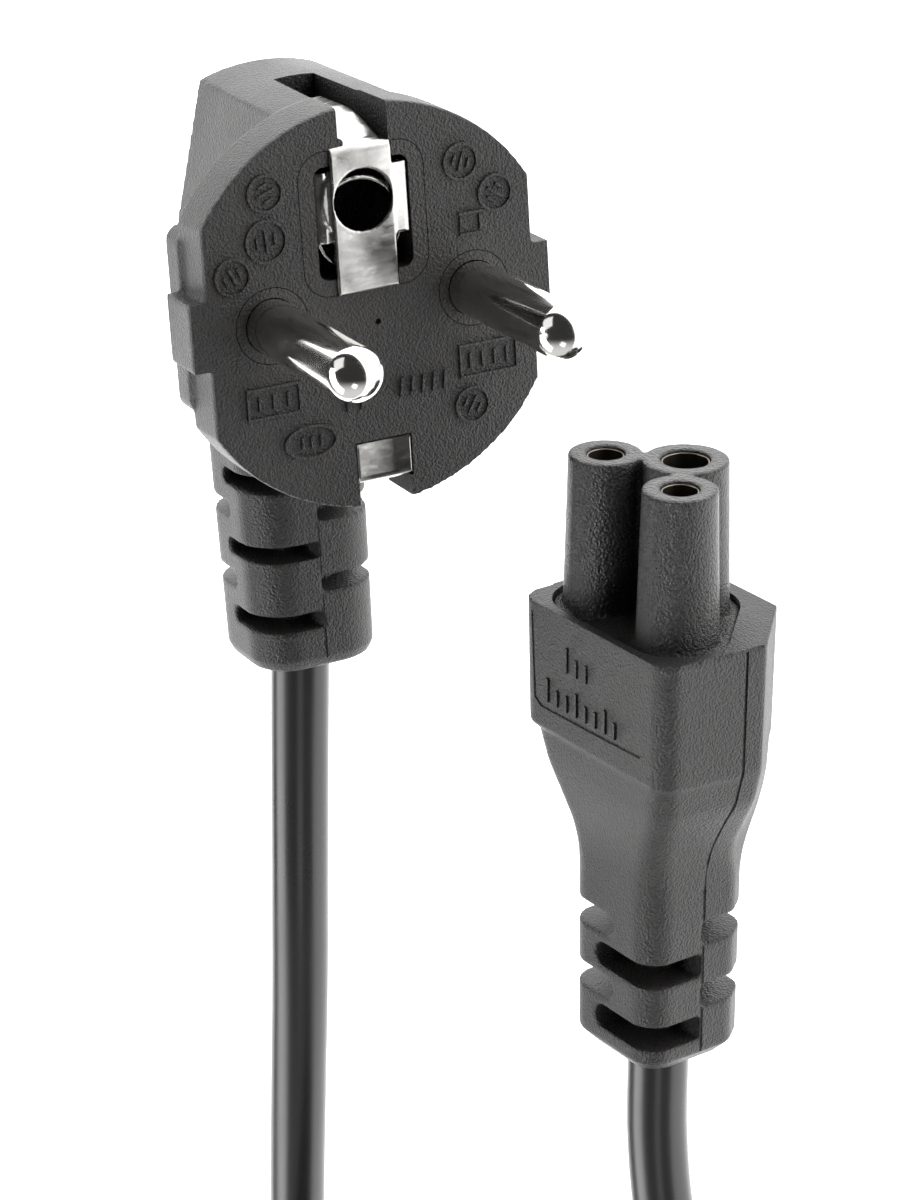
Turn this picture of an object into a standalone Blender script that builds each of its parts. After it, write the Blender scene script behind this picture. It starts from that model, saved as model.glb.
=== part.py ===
import math

import bmesh
import bpy
from mathutils import Matrix, Vector

for item in list(bpy.data.objects):
    bpy.data.objects.remove(item, do_unlink=True)

mm = 0.001

# Clearances
fitGap = 0.3 * mm
overlap = 0.4 * mm
sharpAngle = math.radians(35.0)

# Plug face: u runs across the pins, v away from the cord, n out of the face
faceRadius = 17.8 * mm
flatHalfWidth = 15.3 * mm
earReach = 16.9 * mm
earHalfHeight = 3.0 * mm
flangeThickness = 5.2 * mm
sideNotchHalfWidth = 2.36 * mm
lowerNotchTop = -14.9 * mm
earthSlotDepth = 14.0 * mm
earthSlotBackHalfWidth = 1.9 * mm

# Plug grip wings and hood
wingReach = 15.6 * mm
wingHalfHeight = 8.2 * mm
wingBack = 7.8 * mm
hoodHalfWidths = [(5.95 * mm, 16.6 * mm), (8.9 * mm, 0.5 * mm), (8.9 * mm, -4.0 * mm), (6.7 * mm, -16.0 * mm)]
hoodBackScale = 0.91
hoodTopDepth = 22.0 * mm
hoodLowDepth = 28.7 * mm
hoodLowV = -16.0 * mm
hoodSpare = 3.0 * mm

# Pins and their moulded bridge
pinRadius = 2.4 * mm
pinLength = 19.0 * mm
pinSpacing = 19.0 * mm
pinRoot = 5.2 * mm
collarRadius = 3.3 * mm
bridgeHalfWidth = 12.6 * mm
bridgeHalfHeight = 3.3 * mm
bridgeFront = 4.2 * mm
bridgeBack = 6.6 * mm

# Frame round the earth contact
frameHalfWidth = 6.35 * mm
frameLow = 1.6 * mm
frameRim = 3.0 * mm
frameHigh = faceRadius - frameRim
frameCorner = 2.4 * mm
frameWall = 1.45 * mm
frameOpeningHalfWidth = 2.6 * mm
windowHalfWidth = 4.8 * mm
windowLow = frameLow + frameWall
windowHigh = frameHigh - frameWall
windowCorner = 0.9 * mm
frameDepth = 5.0 * mm
wellDepth = 8.0 * mm

# Earth contact sheet
sheetThickness = 0.5 * mm
sheetHalfWidth = 2.85 * mm
sheetReach = 0.1 * mm
sheetLow = frameLow - sheetReach
sheetHigh = frameHigh + sheetReach
sheetLift = 0.35 * mm
slotStripHalfWidth = 1.55 * mm
slotStripDepth = 11.0 * mm
earthHoleRadius = 2.7 * mm
earthHoleDrop = 5.0 * mm
earthHoleV = frameHigh - earthHoleDrop
earthWingHalfWidth = 4.3 * mm
earthWingBelow = 3.55 * mm
earthWingAbove = 3.15 * mm
earthWingDepth = 2.6 * mm
barrelRadius = 4.0 * mm
barrelWall = 0.45 * mm
barrelDepth = 4.9 * mm
lowerClipHalfWidth = 2.6 * mm
lowerClipTop = -11.9 * mm
lowerClipStripHalfWidth = 1.9 * mm
lowerClipDepth = 4.6 * mm

# Plug strain relief: a rounded square along the cord
cordDepth = 22.3 * mm
reliefHalf = 6.35 * mm
reliefEndHalf = 6.1 * mm
reliefCorner = 4.0 * mm
reliefTop = -14.0 * mm
reliefEnd = -38.6 * mm
reliefEndChamfer = 1.3 * mm
reliefSlotHeight = 1.5 * mm
reliefSlotDepth = 3.3 * mm
reliefSlotPitch = 6.8 * mm
reliefFirstSlot = -20.0 * mm

# Connector: b runs across the two upper towers, e toward the third, a up to the mouth
towerSpacing = 10.2 * mm
earthTowerOffset = 4.6 * mm
towerHeight = 13.4 * mm
towerTopRadius = 3.2 * mm
towerBaseRadius = 3.57 * mm
earthTowerTopRadius = 3.72 * mm
earthTowerBaseRadius = 4.03 * mm
towerHoleRadius = 1.6 * mm
earthTowerHoleRadius = 2.07 * mm
holeMouthDepth = 1.4 * mm
sleeveWall = 0.4 * mm
sleeveClearance = 0.3 * mm
blockMargin = 0.85 * mm
blockDepth = 6.0 * mm
blockSink = 0.25 * mm
sleeveFoot = -3.6 * mm
connectorCordOffset = 2.8 * mm

# Connector body sections: height a, text side, widest line, back face, corner rounding
neckHalf = 5.85 * mm
bodySections = [
    (0.0 * mm, (10.1, -5.3), (10.8, 5.05), (4.8, 11.1), (2.0, 0.5, 0.5)),
    (-11.5 * mm, (9.95, -5.2), (10.6, 5.0), (4.7, 10.95), (2.0, 0.5, 0.5)),
    (-12.1 * mm, (9.3, -4.6), (10.5, 5.0), (4.65, 10.8), (2.0, 0.6, 0.6)),
    (-14.8 * mm, (8.6, -4.3), (9.8, 5.0), (4.6, 10.7), (2.2, 1.0, 1.0)),
    (-18.4 * mm, (7.1, -3.7), (7.8, 5.2), (4.4, 10.1), (2.4, 1.5, 1.5)),
    (-21.4 * mm, (6.2, -3.2), (6.4, 5.4), (4.1, 9.3), (2.6, 1.8, 1.8)),
    (-24.5 * mm, (5.95, -3.05), (5.95, 6.2), (3.9, 8.65), (2.6, 2.0, 2.0)),
    (-40.4 * mm, (5.85, -3.0), (5.85, 6.1), (3.9, 8.55), (2.6, 2.0, 2.0)),
    (-41.8 * mm, (4.5, -1.7), (4.5, 5.3), (3.5, 7.3), (2.2, 1.3, 1.3)),
]
connectorSlotHeight = 2.25 * mm
connectorSlotDepth = 3.1 * mm
connectorSlotLevels = 4
connectorSlotPitch = 6.2 * mm
connectorFirstSlot = -28.7 * mm

# Where the plug and the connector lie, resting on the floor
restTilt = math.radians(22.6)
plugX = 25.0 * mm
plugY = 2.9 * mm
plugHeight = 17.74 * mm
connectorX = -0.54 * mm
connectorY = -20.13 * mm
connectorHeight = 11.88 * mm
connectorRoll = math.radians(-13.4)
connectorYaw = math.radians(-4.2)

# Cord, with its route in millimetres where it isn't coiled
cordRadius = 2.75 * mm
plugCordRoute = [
    (-13.9, 23.7, 9.17), (-25.6, 24.9, 9.17), (-37.6, 26.2, 9.05), (-49.6, 27.8, 8.65), (-61.6, 29.9, 7.9),
    (-71.6, 32.0, 6.9), (-81.6, 34.4, 5.5), (-89.6, 36.2, 4.2), (-96.6, 37.4, 3.2), (-104.2, 37.65, 2.78),
]
connectorCordRoute = [
    (-42.6, -17.7, 9.16), (-52.6, -17.0, 9.1), (-62.6, -17.3, 8.5), (-72.6, -19.9, 7.2), (-82.6, -25.6, 5.6),
    (-92.6, -32.2, 4.1), (-102.6, -36.3, 3.1), (-113.0, -36.9, 2.8), (-125.2, -36.9, 2.78),
]

# Coil of the cord's remaining length: lanes beside each other, layers on each other
coilX = -125.5 * mm
coilY = 3.2 * mm
innerLaneRadius = 28.8 * mm
turnPitch = 5.65 * mm
coilLanes = 3
coilLayers = 4
entryLand = 21.0 * mm
exitLand = 0.0 * mm
leadClearance = 0.8 * mm
tieHalfWidth = 2.5 * mm
tieThickness = 0.8 * mm


def addCollection(name):
    collection = bpy.data.collections.new(name)
    bpy.context.scene.collection.children.link(collection)
    return collection


partCollection = addCollection("cloverleaf_power_cord")
cutterCollection = addCollection("cutters")


def addMaterial(name, color, metallic, roughness):
    material = bpy.data.materials.new(name)
    material.use_nodes = True
    shader = material.node_tree.nodes["Principled BSDF"]
    shader.inputs["Base Color"].default_value = (*color, 1.0)
    shader.inputs["Metallic"].default_value = metallic
    shader.inputs["Roughness"].default_value = roughness
    return material


blackPlastic = addMaterial("black_plastic", (0.045, 0.042, 0.041), 0.0, 0.55)
insertPlastic = addMaterial("insert_plastic", (0.05, 0.047, 0.046), 0.0, 0.5)
towerPlastic = addMaterial("tower_plastic", (0.035, 0.032, 0.031), 0.0, 0.3)
pinMetal = addMaterial("pin_metal", (0.78, 0.77, 0.75), 1.0, 0.12)
contactMetal = addMaterial("contact_metal", (0.72, 0.71, 0.69), 1.0, 0.22)
socketMetal = addMaterial("socket_metal", (0.62, 0.52, 0.34), 1.0, 0.3)
cordSheath = addMaterial("cord_sheath", (0.03, 0.028, 0.028), 0.0, 0.38)
tieStrap = addMaterial("tie_strap", (0.03, 0.03, 0.03), 0.0, 0.5)


def addEmpty(name, location, rotation):
    empty = bpy.data.objects.new(name, None)
    empty.location = location
    empty.rotation_euler = rotation.to_euler()
    partCollection.objects.link(empty)
    return empty


plugAxes = Matrix((
    (0.0, 1.0, 0.0),
    (-math.sin(restTilt), 0.0, -math.cos(restTilt)),
    (-math.cos(restTilt), 0.0, math.sin(restTilt)),
))
connectorAxes = (
    Matrix.Rotation(connectorYaw, 3, "Z")
    @ Matrix.Rotation(connectorRoll, 3, "X")
    @ Matrix(((0.0, 0.0, 1.0), (-1.0, 0.0, 0.0), (0.0, -1.0, 0.0)))
)
plugSeat = addEmpty("plug_seat", (plugX, plugY, plugHeight), plugAxes)
connectorSeat = addEmpty("connector_seat", (connectorX, connectorY, connectorHeight), connectorAxes)


def addObject(name, mesh, seat, material=None):
    thing = bpy.data.objects.new(name, mesh)
    thing.parent = seat
    if material:
        mesh.materials.clear()
        mesh.materials.append(material)
        partCollection.objects.link(thing)
    else:
        cutterCollection.objects.link(thing)
        thing.hide_render = True
        thing.display_type = "WIRE"
    return thing


def finishMesh(name, form, seat, material=None):
    bmesh.ops.recalc_face_normals(form, faces=form.faces)
    mesh = bpy.data.meshes.new(name)
    form.to_mesh(mesh)
    form.free()
    mesh.shade_smooth()
    mesh.set_sharp_from_angle(angle=sharpAngle)
    return addObject(name, mesh, seat, material)


def combine(target, tool, operation):
    step = target.modifiers.new(tool.name, "BOOLEAN")
    step.operation = operation
    step.solver = "EXACT"
    step.object = tool


def roundedOutline(corners, radii, steps):
    points = []
    count = len(corners)
    for index in range(count):
        corner = Vector(corners[index])
        before = (Vector(corners[index - 1]) - corner).normalized()
        after = (Vector(corners[(index + 1) % count]) - corner).normalized()
        half = before.angle(after) / 2.0
        radius = radii[index]
        middle = corner + (before + after).normalized() * (radius / math.sin(half))
        start = corner + before * (radius / math.tan(half)) - middle
        end = corner + after * (radius / math.tan(half)) - middle
        turn = start.angle_signed(end)
        for step in range(steps + 1):
            angle = -turn * step / steps
            spun = Vector((
                start.x * math.cos(angle) - start.y * math.sin(angle),
                start.x * math.sin(angle) + start.y * math.cos(angle),
            ))
            points.append(middle + spun)
    return points


def prism(form, outline, low, high):
    floor = [form.verts.new((point[0], point[1], low)) for point in outline]
    face = form.faces.new(floor)
    raised = bmesh.ops.extrude_face_region(form, geom=[face])["geom"]
    lifted = [item for item in raised if isinstance(item, bmesh.types.BMVert)]
    bmesh.ops.translate(form, verts=lifted, vec=(0.0, 0.0, high - low))
    return lifted


def box(form, low, high):
    middle = (Vector(low) + Vector(high)) / 2.0
    size = Vector(high) - Vector(low)
    place = Matrix.Translation(middle) @ Matrix.Diagonal((*size, 1.0))
    bmesh.ops.create_cube(form, size=1.0, matrix=place)


def post(form, center, low, high, lowRadius, highRadius, segments):
    place = Matrix.Translation((center[0], center[1], (low + high) / 2.0))
    bmesh.ops.create_cone(
        form, cap_ends=True, segments=segments, radius1=lowRadius, radius2=highRadius,
        depth=high - low, matrix=place,
    )


def sections(form, rings):
    made = [[form.verts.new(point) for point in ring] for ring in rings]
    count = len(rings[0])
    for lower, upper in zip(made, made[1:]):
        for index in range(count):
            after = (index + 1) % count
            form.faces.new((lower[index], lower[after], upper[after], upper[index]))
    form.faces.new(list(reversed(made[0])))
    form.faces.new(made[-1])


# Plug face disc with side flats, ears and the two earth notches
def faceOutline():
    def arc(startAngle, endAngle, count):
        return [
            (faceRadius * math.cos(startAngle + (endAngle - startAngle) * step / count),
             faceRadius * math.sin(startAngle + (endAngle - startAngle) * step / count))
            for step in range(count + 1)
        ]

    notchAngle = math.acos(sideNotchHalfWidth / faceRadius)
    flatAngle = math.acos(flatHalfWidth / faceRadius)
    right = [(sideNotchHalfWidth, lowerNotchTop)]
    right += arc(-notchAngle, -flatAngle, 14)
    right += [(flatHalfWidth, -earHalfHeight), (earReach, -earHalfHeight)]
    right += [(earReach, earHalfHeight), (flatHalfWidth, earHalfHeight)]
    right += arc(flatAngle, notchAngle, 14)
    left = [(-x, y) for x, y in reversed(right)]
    return right + left


form = bmesh.new()
prism(form, faceOutline(), -flangeThickness, 0.0)
plugBody = finishMesh("plug_body", form, plugSeat, blackPlastic)

# Grip wings behind the face
form = bmesh.new()
wingOutline = roundedOutline(
    [(-wingReach, -wingHalfHeight), (wingReach, -wingHalfHeight),
     (wingReach, wingHalfHeight), (-wingReach, wingHalfHeight)],
    [1.0 * mm] * 4, 3,
)
prism(form, wingOutline, -wingBack, -flangeThickness + overlap)
wings = finishMesh("plug_wings", form, plugSeat)

# Hood: drafted sides, a domed top that follows the face, a back that leans to the cord
form = bmesh.new()
hoodTop = hoodHalfWidths[0]
domeAngle = math.acos(hoodTop[0] / (faceRadius - 0.15 * mm))
dome = [
    ((faceRadius - 0.15 * mm) * math.cos(domeAngle + (math.pi - 2 * domeAngle) * step / 10),
     (faceRadius - 0.15 * mm) * math.sin(domeAngle + (math.pi - 2 * domeAngle) * step / 10))
    for step in range(11)
]
lowerLeft = [(-x, y) for x, y in hoodHalfWidths[1:]]
lowerRight = [(x, y) for x, y in reversed(hoodHalfWidths[1:])]
hoodOutline = dome + lowerLeft + lowerRight
lifted = prism(form, hoodOutline, -flangeThickness + overlap, -hoodLowDepth - hoodSpare)
for vertex in lifted:
    vertex.co.x *= hoodBackScale
hood = finishMesh("plug_hood", form, plugSeat)

backLean = math.atan2(hoodLowDepth - hoodTopDepth, faceRadius - hoodLowV)
form = bmesh.new()
farSide = 3 * faceRadius
box(form, (-farSide, -farSide, -farSide), (farSide, farSide, 0.0))
hoodBack = finishMesh("hood_back", form, plugSeat)
hoodBack.location = (0.0, faceRadius, -hoodTopDepth)
hoodBack.rotation_euler = (backLean, 0.0, 0.0)
combine(hood, hoodBack, "DIFFERENCE")

# Strain relief of the plug
def reliefRing(half, corner, middle, height):
    outline = roundedOutline(
        [(-half, -half), (half, -half), (half, half), (-half, half)], [corner] * 4, 5
    )
    return [(point.x, height, point.y - middle) for point in outline]


form = bmesh.new()
sections(form, [
    reliefRing(reliefHalf, reliefCorner, cordDepth, reliefTop),
    reliefRing(reliefEndHalf, reliefCorner, cordDepth, reliefEnd + reliefEndChamfer),
    reliefRing(reliefEndHalf - reliefEndChamfer, reliefCorner - reliefEndChamfer, cordDepth, reliefEnd),
])
relief = finishMesh("plug_relief", form, plugSeat)

form = bmesh.new()
for level in range(5):
    height = reliefFirstSlot - level * reliefSlotPitch / 2.0
    for side in (-1, 1):
        # Even levels open the front left and back right corners, odd levels the other two
        across = side if level % 2 == 0 else -side
        reach = reliefHalf + overlap
        lowU, highU = sorted((-side * reach, -side * overlap))
        lowN, highN = sorted((across * reach, across * overlap))
        box(form, (lowU, height - reliefSlotHeight / 2, lowN - cordDepth),
            (highU, height + reliefSlotHeight / 2, highN - cordDepth))
reliefSlots = finishMesh("relief_slots", form, plugSeat)

form = bmesh.new()
core = reliefHalf - reliefSlotDepth
coreOutline = roundedOutline(
    [(-core, -core), (core, -core), (core, core), (-core, core)], [core * 0.9] * 4, 4
)
sections(form, [
    [(point.x, height, point.y - cordDepth) for point in coreOutline]
    for height in (reliefTop - overlap, reliefEnd + reliefEndChamfer)
])
reliefCore = finishMesh("relief_core", form, plugSeat)
combine(reliefSlots, reliefCore, "DIFFERENCE")
combine(relief, reliefSlots, "DIFFERENCE")

# Cavity for the bridge, its frame and the collars
def uprightCorners(halfWidth, low, high):
    return [(-halfWidth, low), (halfWidth, low), (halfWidth, high), (-halfWidth, high)]


frameCorners = uprightCorners(frameHalfWidth, frameLow, frameHigh)
cavityCorners = uprightCorners(frameHalfWidth + fitGap, frameLow - fitGap, frameHigh + fitGap)
form = bmesh.new()
prism(
    form, roundedOutline(cavityCorners, [frameCorner + fitGap] * 4, 5),
    -frameDepth - fitGap, overlap,
)
frameCavity = finishMesh("frame_cavity", form, plugSeat)
form = bmesh.new()
box(
    form, (-bridgeHalfWidth - fitGap, -bridgeHalfHeight - fitGap, -bridgeBack - fitGap),
    (bridgeHalfWidth + fitGap, bridgeHalfHeight + fitGap, -bridgeFront + fitGap),
)
bridgeCavity = finishMesh("bridge_cavity", form, plugSeat)
windowCorners = uprightCorners(windowHalfWidth, windowLow, windowHigh)
form = bmesh.new()
prism(form, roundedOutline(windowCorners, [windowCorner] * 4, 3), -wellDepth, -frameDepth + overlap)
well = finishMesh("contact_well", form, plugSeat)
form = bmesh.new()
for side in (-1, 1):
    center = (side * pinSpacing / 2, 0.0)
    post(form, center, -bridgeFront - overlap, overlap, collarRadius + fitGap, collarRadius + fitGap, 40)
collarCavity = finishMesh("collar_cavity", form, plugSeat)

# Slot for the upper earth strip, open to the face and to the top
form = bmesh.new()
slotFloor = sheetHigh - sheetThickness - fitGap
sections(form, [
    [(-half, slotFloor, depth), (half, slotFloor, depth),
     (half, faceRadius + 2 * mm, depth), (-half, faceRadius + 2 * mm, depth)]
    for half, depth in (
        (earthSlotBackHalfWidth, -earthSlotDepth), (sideNotchHalfWidth, overlap)
    )
])
earthSlot = finishMesh("earth_slot", form, plugSeat)

# Pocket for the lower clip
form = bmesh.new()
box(
    form, (-lowerClipHalfWidth - fitGap, lowerNotchTop - overlap, -sheetThickness - fitGap),
    (lowerClipHalfWidth + fitGap, lowerClipTop + fitGap, overlap),
)
clipPocket = finishMesh("clip_pocket", form, plugSeat)

for tool in (wings, hood, relief):
    combine(plugBody, tool, "UNION")
for tool in (frameCavity, bridgeCavity, well, collarCavity, earthSlot, clipPocket):
    combine(plugBody, tool, "DIFFERENCE")

# Bridge that carries the pins, with the frame round the earth contact
form = bmesh.new()
prism(form, roundedOutline(frameCorners, [frameCorner] * 4, 5), -frameDepth, 0.0)
pinBridge = finishMesh("pin_bridge", form, plugSeat, insertPlastic)
form = bmesh.new()
box(
    form, (-bridgeHalfWidth, -bridgeHalfHeight, -bridgeBack),
    (bridgeHalfWidth, bridgeHalfHeight, -bridgeFront),
)
bridgeBar = finishMesh("bridge_bar", form, plugSeat)
form = bmesh.new()
for side in (-1, 1):
    post(form, (side * pinSpacing / 2, 0.0), -bridgeFront - overlap, 0.0, collarRadius, collarRadius, 40)
collars = finishMesh("pin_collars", form, plugSeat)
form = bmesh.new()
prism(form, roundedOutline(windowCorners, [windowCorner] * 4, 3), -bridgeBack - overlap, overlap)
frameWindow = finishMesh("frame_window", form, plugSeat)
form = bmesh.new()
box(
    form, (-frameOpeningHalfWidth, windowHigh - fitGap, -frameDepth - overlap),
    (frameOpeningHalfWidth, frameHigh + overlap, overlap),
)
stripNotch = finishMesh("strip_notch", form, plugSeat)
form = bmesh.new()
for side in (-1, 1):
    post(
        form, (side * pinSpacing / 2, 0.0), -pinRoot - fitGap, overlap,
        pinRadius + fitGap, pinRadius + fitGap, 40,
    )
pinSeats = finishMesh("pin_seats", form, plugSeat)
for tool in (bridgeBar, collars):
    combine(pinBridge, tool, "UNION")
for tool in (frameWindow, stripNotch, pinSeats):
    combine(pinBridge, tool, "DIFFERENCE")


# Pins, turned
def addPin(name, side):
    profile = [(0.0, pinLength)]
    for step in range(1, 9):
        angle = math.pi / 2 * (1 - step / 8)
        profile.append((pinRadius * math.cos(angle), pinLength - pinRadius + pinRadius * math.sin(angle)))
    profile += [(pinRadius, -pinRoot), (0.0, -pinRoot)]
    mesh = bpy.data.meshes.new(name)
    mesh.from_pydata(
        [(x, 0.0, z) for x, z in profile], [(i, i + 1) for i in range(len(profile) - 1)], []
    )
    pin = addObject(name, mesh, plugSeat, pinMetal)
    pin.location = (side * pinSpacing / 2, 0.0, 0.0)
    turn = pin.modifiers.new("turn", "SCREW")
    turn.steps = turn.render_steps = 36
    turn.use_merge_vertices = True
    turn.merge_threshold = 0.00001
    turn.use_smooth_shade = True
    return pin


addPin("live_pin", -1)
addPin("neutral_pin", 1)

# Earth contact: front sheet with its hole, strip along the slot, folded wings, round barrel
form = bmesh.new()
sheetBack = sheetLift - sheetThickness
box(form, (-sheetHalfWidth, sheetLow, sheetBack + 0.2 * mm), (sheetHalfWidth, sheetHigh, sheetLift + 0.2 * mm))
earthContact = finishMesh("earth_contact", form, plugSeat, contactMetal)
form = bmesh.new()
box(
    form, (-slotStripHalfWidth, sheetHigh - sheetThickness, -slotStripDepth),
    (slotStripHalfWidth, sheetHigh, sheetLift),
)
slotStrip = finishMesh("slot_strip", form, plugSeat)
form = bmesh.new()
box(
    form, (-earthWingHalfWidth, earthHoleV - earthWingBelow, sheetBack - 0.2 * mm),
    (earthWingHalfWidth, earthHoleV + earthWingAbove, sheetBack + 0.4 * mm),
)
earthWings = finishMesh("earth_wings", form, plugSeat)
form = bmesh.new()
for side in (-1, 1):
    lowU, highU = sorted((side * (earthWingHalfWidth - sheetThickness), side * earthWingHalfWidth))
    box(form, (lowU, earthHoleV - earthWingBelow, -earthWingDepth),
        (highU, earthHoleV + earthWingAbove, sheetBack + 0.3 * mm))
wingFolds = finishMesh("wing_folds", form, plugSeat)
form = bmesh.new()
post(form, (0.0, earthHoleV), -barrelDepth, sheetBack + 0.3 * mm, barrelRadius, barrelRadius, 48)
barrel = finishMesh("earth_barrel", form, plugSeat)
form = bmesh.new()
post(
    form, (0.0, earthHoleV), -barrelDepth - overlap, sheetBack - 0.3 * mm,
    barrelRadius - barrelWall, barrelRadius - barrelWall, 48,
)
barrelBore = finishMesh("barrel_bore", form, plugSeat)
form = bmesh.new()
post(form, (0.0, earthHoleV), -2.0 * mm, 2.0 * mm, earthHoleRadius, earthHoleRadius, 48)
earthHole = finishMesh("earth_hole", form, plugSeat)
for tool in (slotStrip, earthWings, wingFolds, barrel):
    combine(earthContact, tool, "UNION")
for tool in (barrelBore, earthHole):
    combine(earthContact, tool, "DIFFERENCE")

# Lower earth clip: a plate on the face that folds back along the notch
form = bmesh.new()
box(
    form, (-lowerClipHalfWidth, lowerNotchTop, -sheetThickness),
    (lowerClipHalfWidth, lowerClipTop, 0.0),
)
lowerClip = finishMesh("lower_earth_clip", form, plugSeat, contactMetal)
foldTop = lowerNotchTop - fitGap
foldLow = foldTop - sheetThickness
form = bmesh.new()
box(
    form, (-lowerClipStripHalfWidth, foldLow, -sheetThickness * 0.9),
    (lowerClipStripHalfWidth, lowerNotchTop + overlap, -sheetThickness * 0.1),
)
clipTongue = finishMesh("clip_tongue", form, plugSeat)
form = bmesh.new()
box(
    form, (-lowerClipStripHalfWidth * 0.98, foldLow + sheetThickness * 0.05, -lowerClipDepth),
    (lowerClipStripHalfWidth * 0.98, foldTop, -sheetThickness * 0.2),
)
clipFold = finishMesh("clip_fold", form, plugSeat)
combine(lowerClip, clipTongue, "UNION")
combine(lowerClip, clipFold, "UNION")


# Connector body, lofted from the wide mouth to the round-cornered neck and relief
def bodyRing(section):
    height, front, widest, back, rounding = section
    corners = [
        (front[0] * mm, front[1] * mm), (widest[0] * mm, widest[1] * mm), (back[0] * mm, back[1] * mm),
        (-back[0] * mm, back[1] * mm), (-widest[0] * mm, widest[1] * mm), (-front[0] * mm, front[1] * mm),
    ]
    radii = [rounding[0] * mm, rounding[1] * mm, rounding[2] * mm]
    outline = roundedOutline(corners, radii + radii[::-1], 5)
    return [(point.x, point.y, height) for point in outline]


form = bmesh.new()
sections(form, [bodyRing(section) for section in bodySections])
connectorBody = finishMesh("connector_body", form, connectorSeat, blackPlastic)

form = bmesh.new()
reach = neckHalf + 3 * overlap
for level in range(connectorSlotLevels):
    height = connectorFirstSlot - level * connectorSlotPitch / 2.0
    for side in (-1, 1):
        # Even levels open the left and right corners as seen with the text side to the left
        across = side if level % 2 == 0 else -side
        lowB, highB = sorted((side * reach, side * overlap))
        lowE, highE = sorted((across * reach, across * overlap))
        box(form, (lowB, lowE + connectorCordOffset, height - connectorSlotHeight / 2),
            (highB, highE + connectorCordOffset, height + connectorSlotHeight / 2))
connectorSlots = finishMesh("connector_slots", form, connectorSeat)
form = bmesh.new()
slotCore = neckHalf - connectorSlotDepth
lastSlot = connectorFirstSlot - (connectorSlotLevels - 1) * connectorSlotPitch / 2.0
slotCoreOutline = roundedOutline(
    [(-slotCore, -slotCore), (slotCore, -slotCore), (slotCore, slotCore), (-slotCore, slotCore)],
    [slotCore * 0.8] * 4, 4,
)
prism(
    form, [(point.x, point.y + connectorCordOffset) for point in slotCoreOutline],
    lastSlot - connectorSlotHeight, connectorFirstSlot + connectorSlotHeight,
)
connectorCore = finishMesh("connector_core", form, connectorSeat)
combine(connectorSlots, connectorCore, "DIFFERENCE")
combine(connectorBody, connectorSlots, "DIFFERENCE")


# Outline round the three towers, a belt about their bases
def towerBelt(margin):
    samples = []
    for x, y, radius in (
        (-towerSpacing / 2, 0.0, towerBaseRadius), (towerSpacing / 2, 0.0, towerBaseRadius),
        (0.0, earthTowerOffset, earthTowerBaseRadius),
    ):
        for step in range(40):
            angle = 2 * math.pi * step / 40
            reach = radius + margin
            samples.append((x + reach * math.cos(angle), y + reach * math.sin(angle)))

    def halfHull(points):
        chain = []
        for x, y in points:
            while len(chain) > 1:
                (ax, ay), (bx, by) = chain[-2:]
                if (bx - ax) * (y - ay) - (by - ay) * (x - ax) > 1e-9:
                    break
                chain.pop()
            chain.append((x, y))
        return chain[:-1]

    samples.sort()
    return halfHull(samples) + halfHull(samples[::-1])


form = bmesh.new()
prism(form, towerBelt(blockMargin + fitGap), -blockDepth - fitGap, overlap)
blockPocket = finishMesh("block_pocket", form, connectorSeat)
combine(connectorBody, blockPocket, "DIFFERENCE")

form = bmesh.new()
prism(form, towerBelt(blockMargin), -blockDepth, -blockSink)
towerBlock = finishMesh("tower_block", form, connectorSeat, towerPlastic)

towers = [
    ("live", (-towerSpacing / 2, 0.0), towerBaseRadius, towerTopRadius, towerHoleRadius),
    ("neutral", (towerSpacing / 2, 0.0), towerBaseRadius, towerTopRadius, towerHoleRadius),
    ("earth", (0.0, earthTowerOffset), earthTowerBaseRadius, earthTowerTopRadius, earthTowerHoleRadius),
]
for name, center, baseRadius, topRadius, holeRadius in towers:
    form = bmesh.new()
    post(form, center, -blockSink - overlap, towerHeight, baseRadius, topRadius, 44)
    combine(towerBlock, finishMesh(f"{name}_tower", form, connectorSeat), "UNION")
for name, center, baseRadius, topRadius, holeRadius in towers:
    form = bmesh.new()
    post(form, center, 0.0, towerHeight + overlap, holeRadius, holeRadius, 36)
    combine(towerBlock, finishMesh(f"{name}_mouth", form, connectorSeat), "DIFFERENCE")
    form = bmesh.new()
    seatRadius = holeRadius + sleeveClearance
    post(form, center, sleeveFoot - sleeveClearance, towerHeight - holeMouthDepth, seatRadius, seatRadius, 36)
    combine(towerBlock, finishMesh(f"{name}_seat", form, connectorSeat), "DIFFERENCE")
    form = bmesh.new()
    post(form, center, sleeveFoot, towerHeight - holeMouthDepth - sleeveClearance, holeRadius, holeRadius, 36)
    sleeve = finishMesh(f"{name}_socket", form, connectorSeat, socketMetal)
    form = bmesh.new()
    bore = holeRadius - sleeveWall
    post(form, center, sleeveFoot + 0.6 * mm, towerHeight, bore, bore, 36)
    combine(sleeve, finishMesh(f"{name}_bore", form, connectorSeat), "DIFFERENCE")


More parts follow.
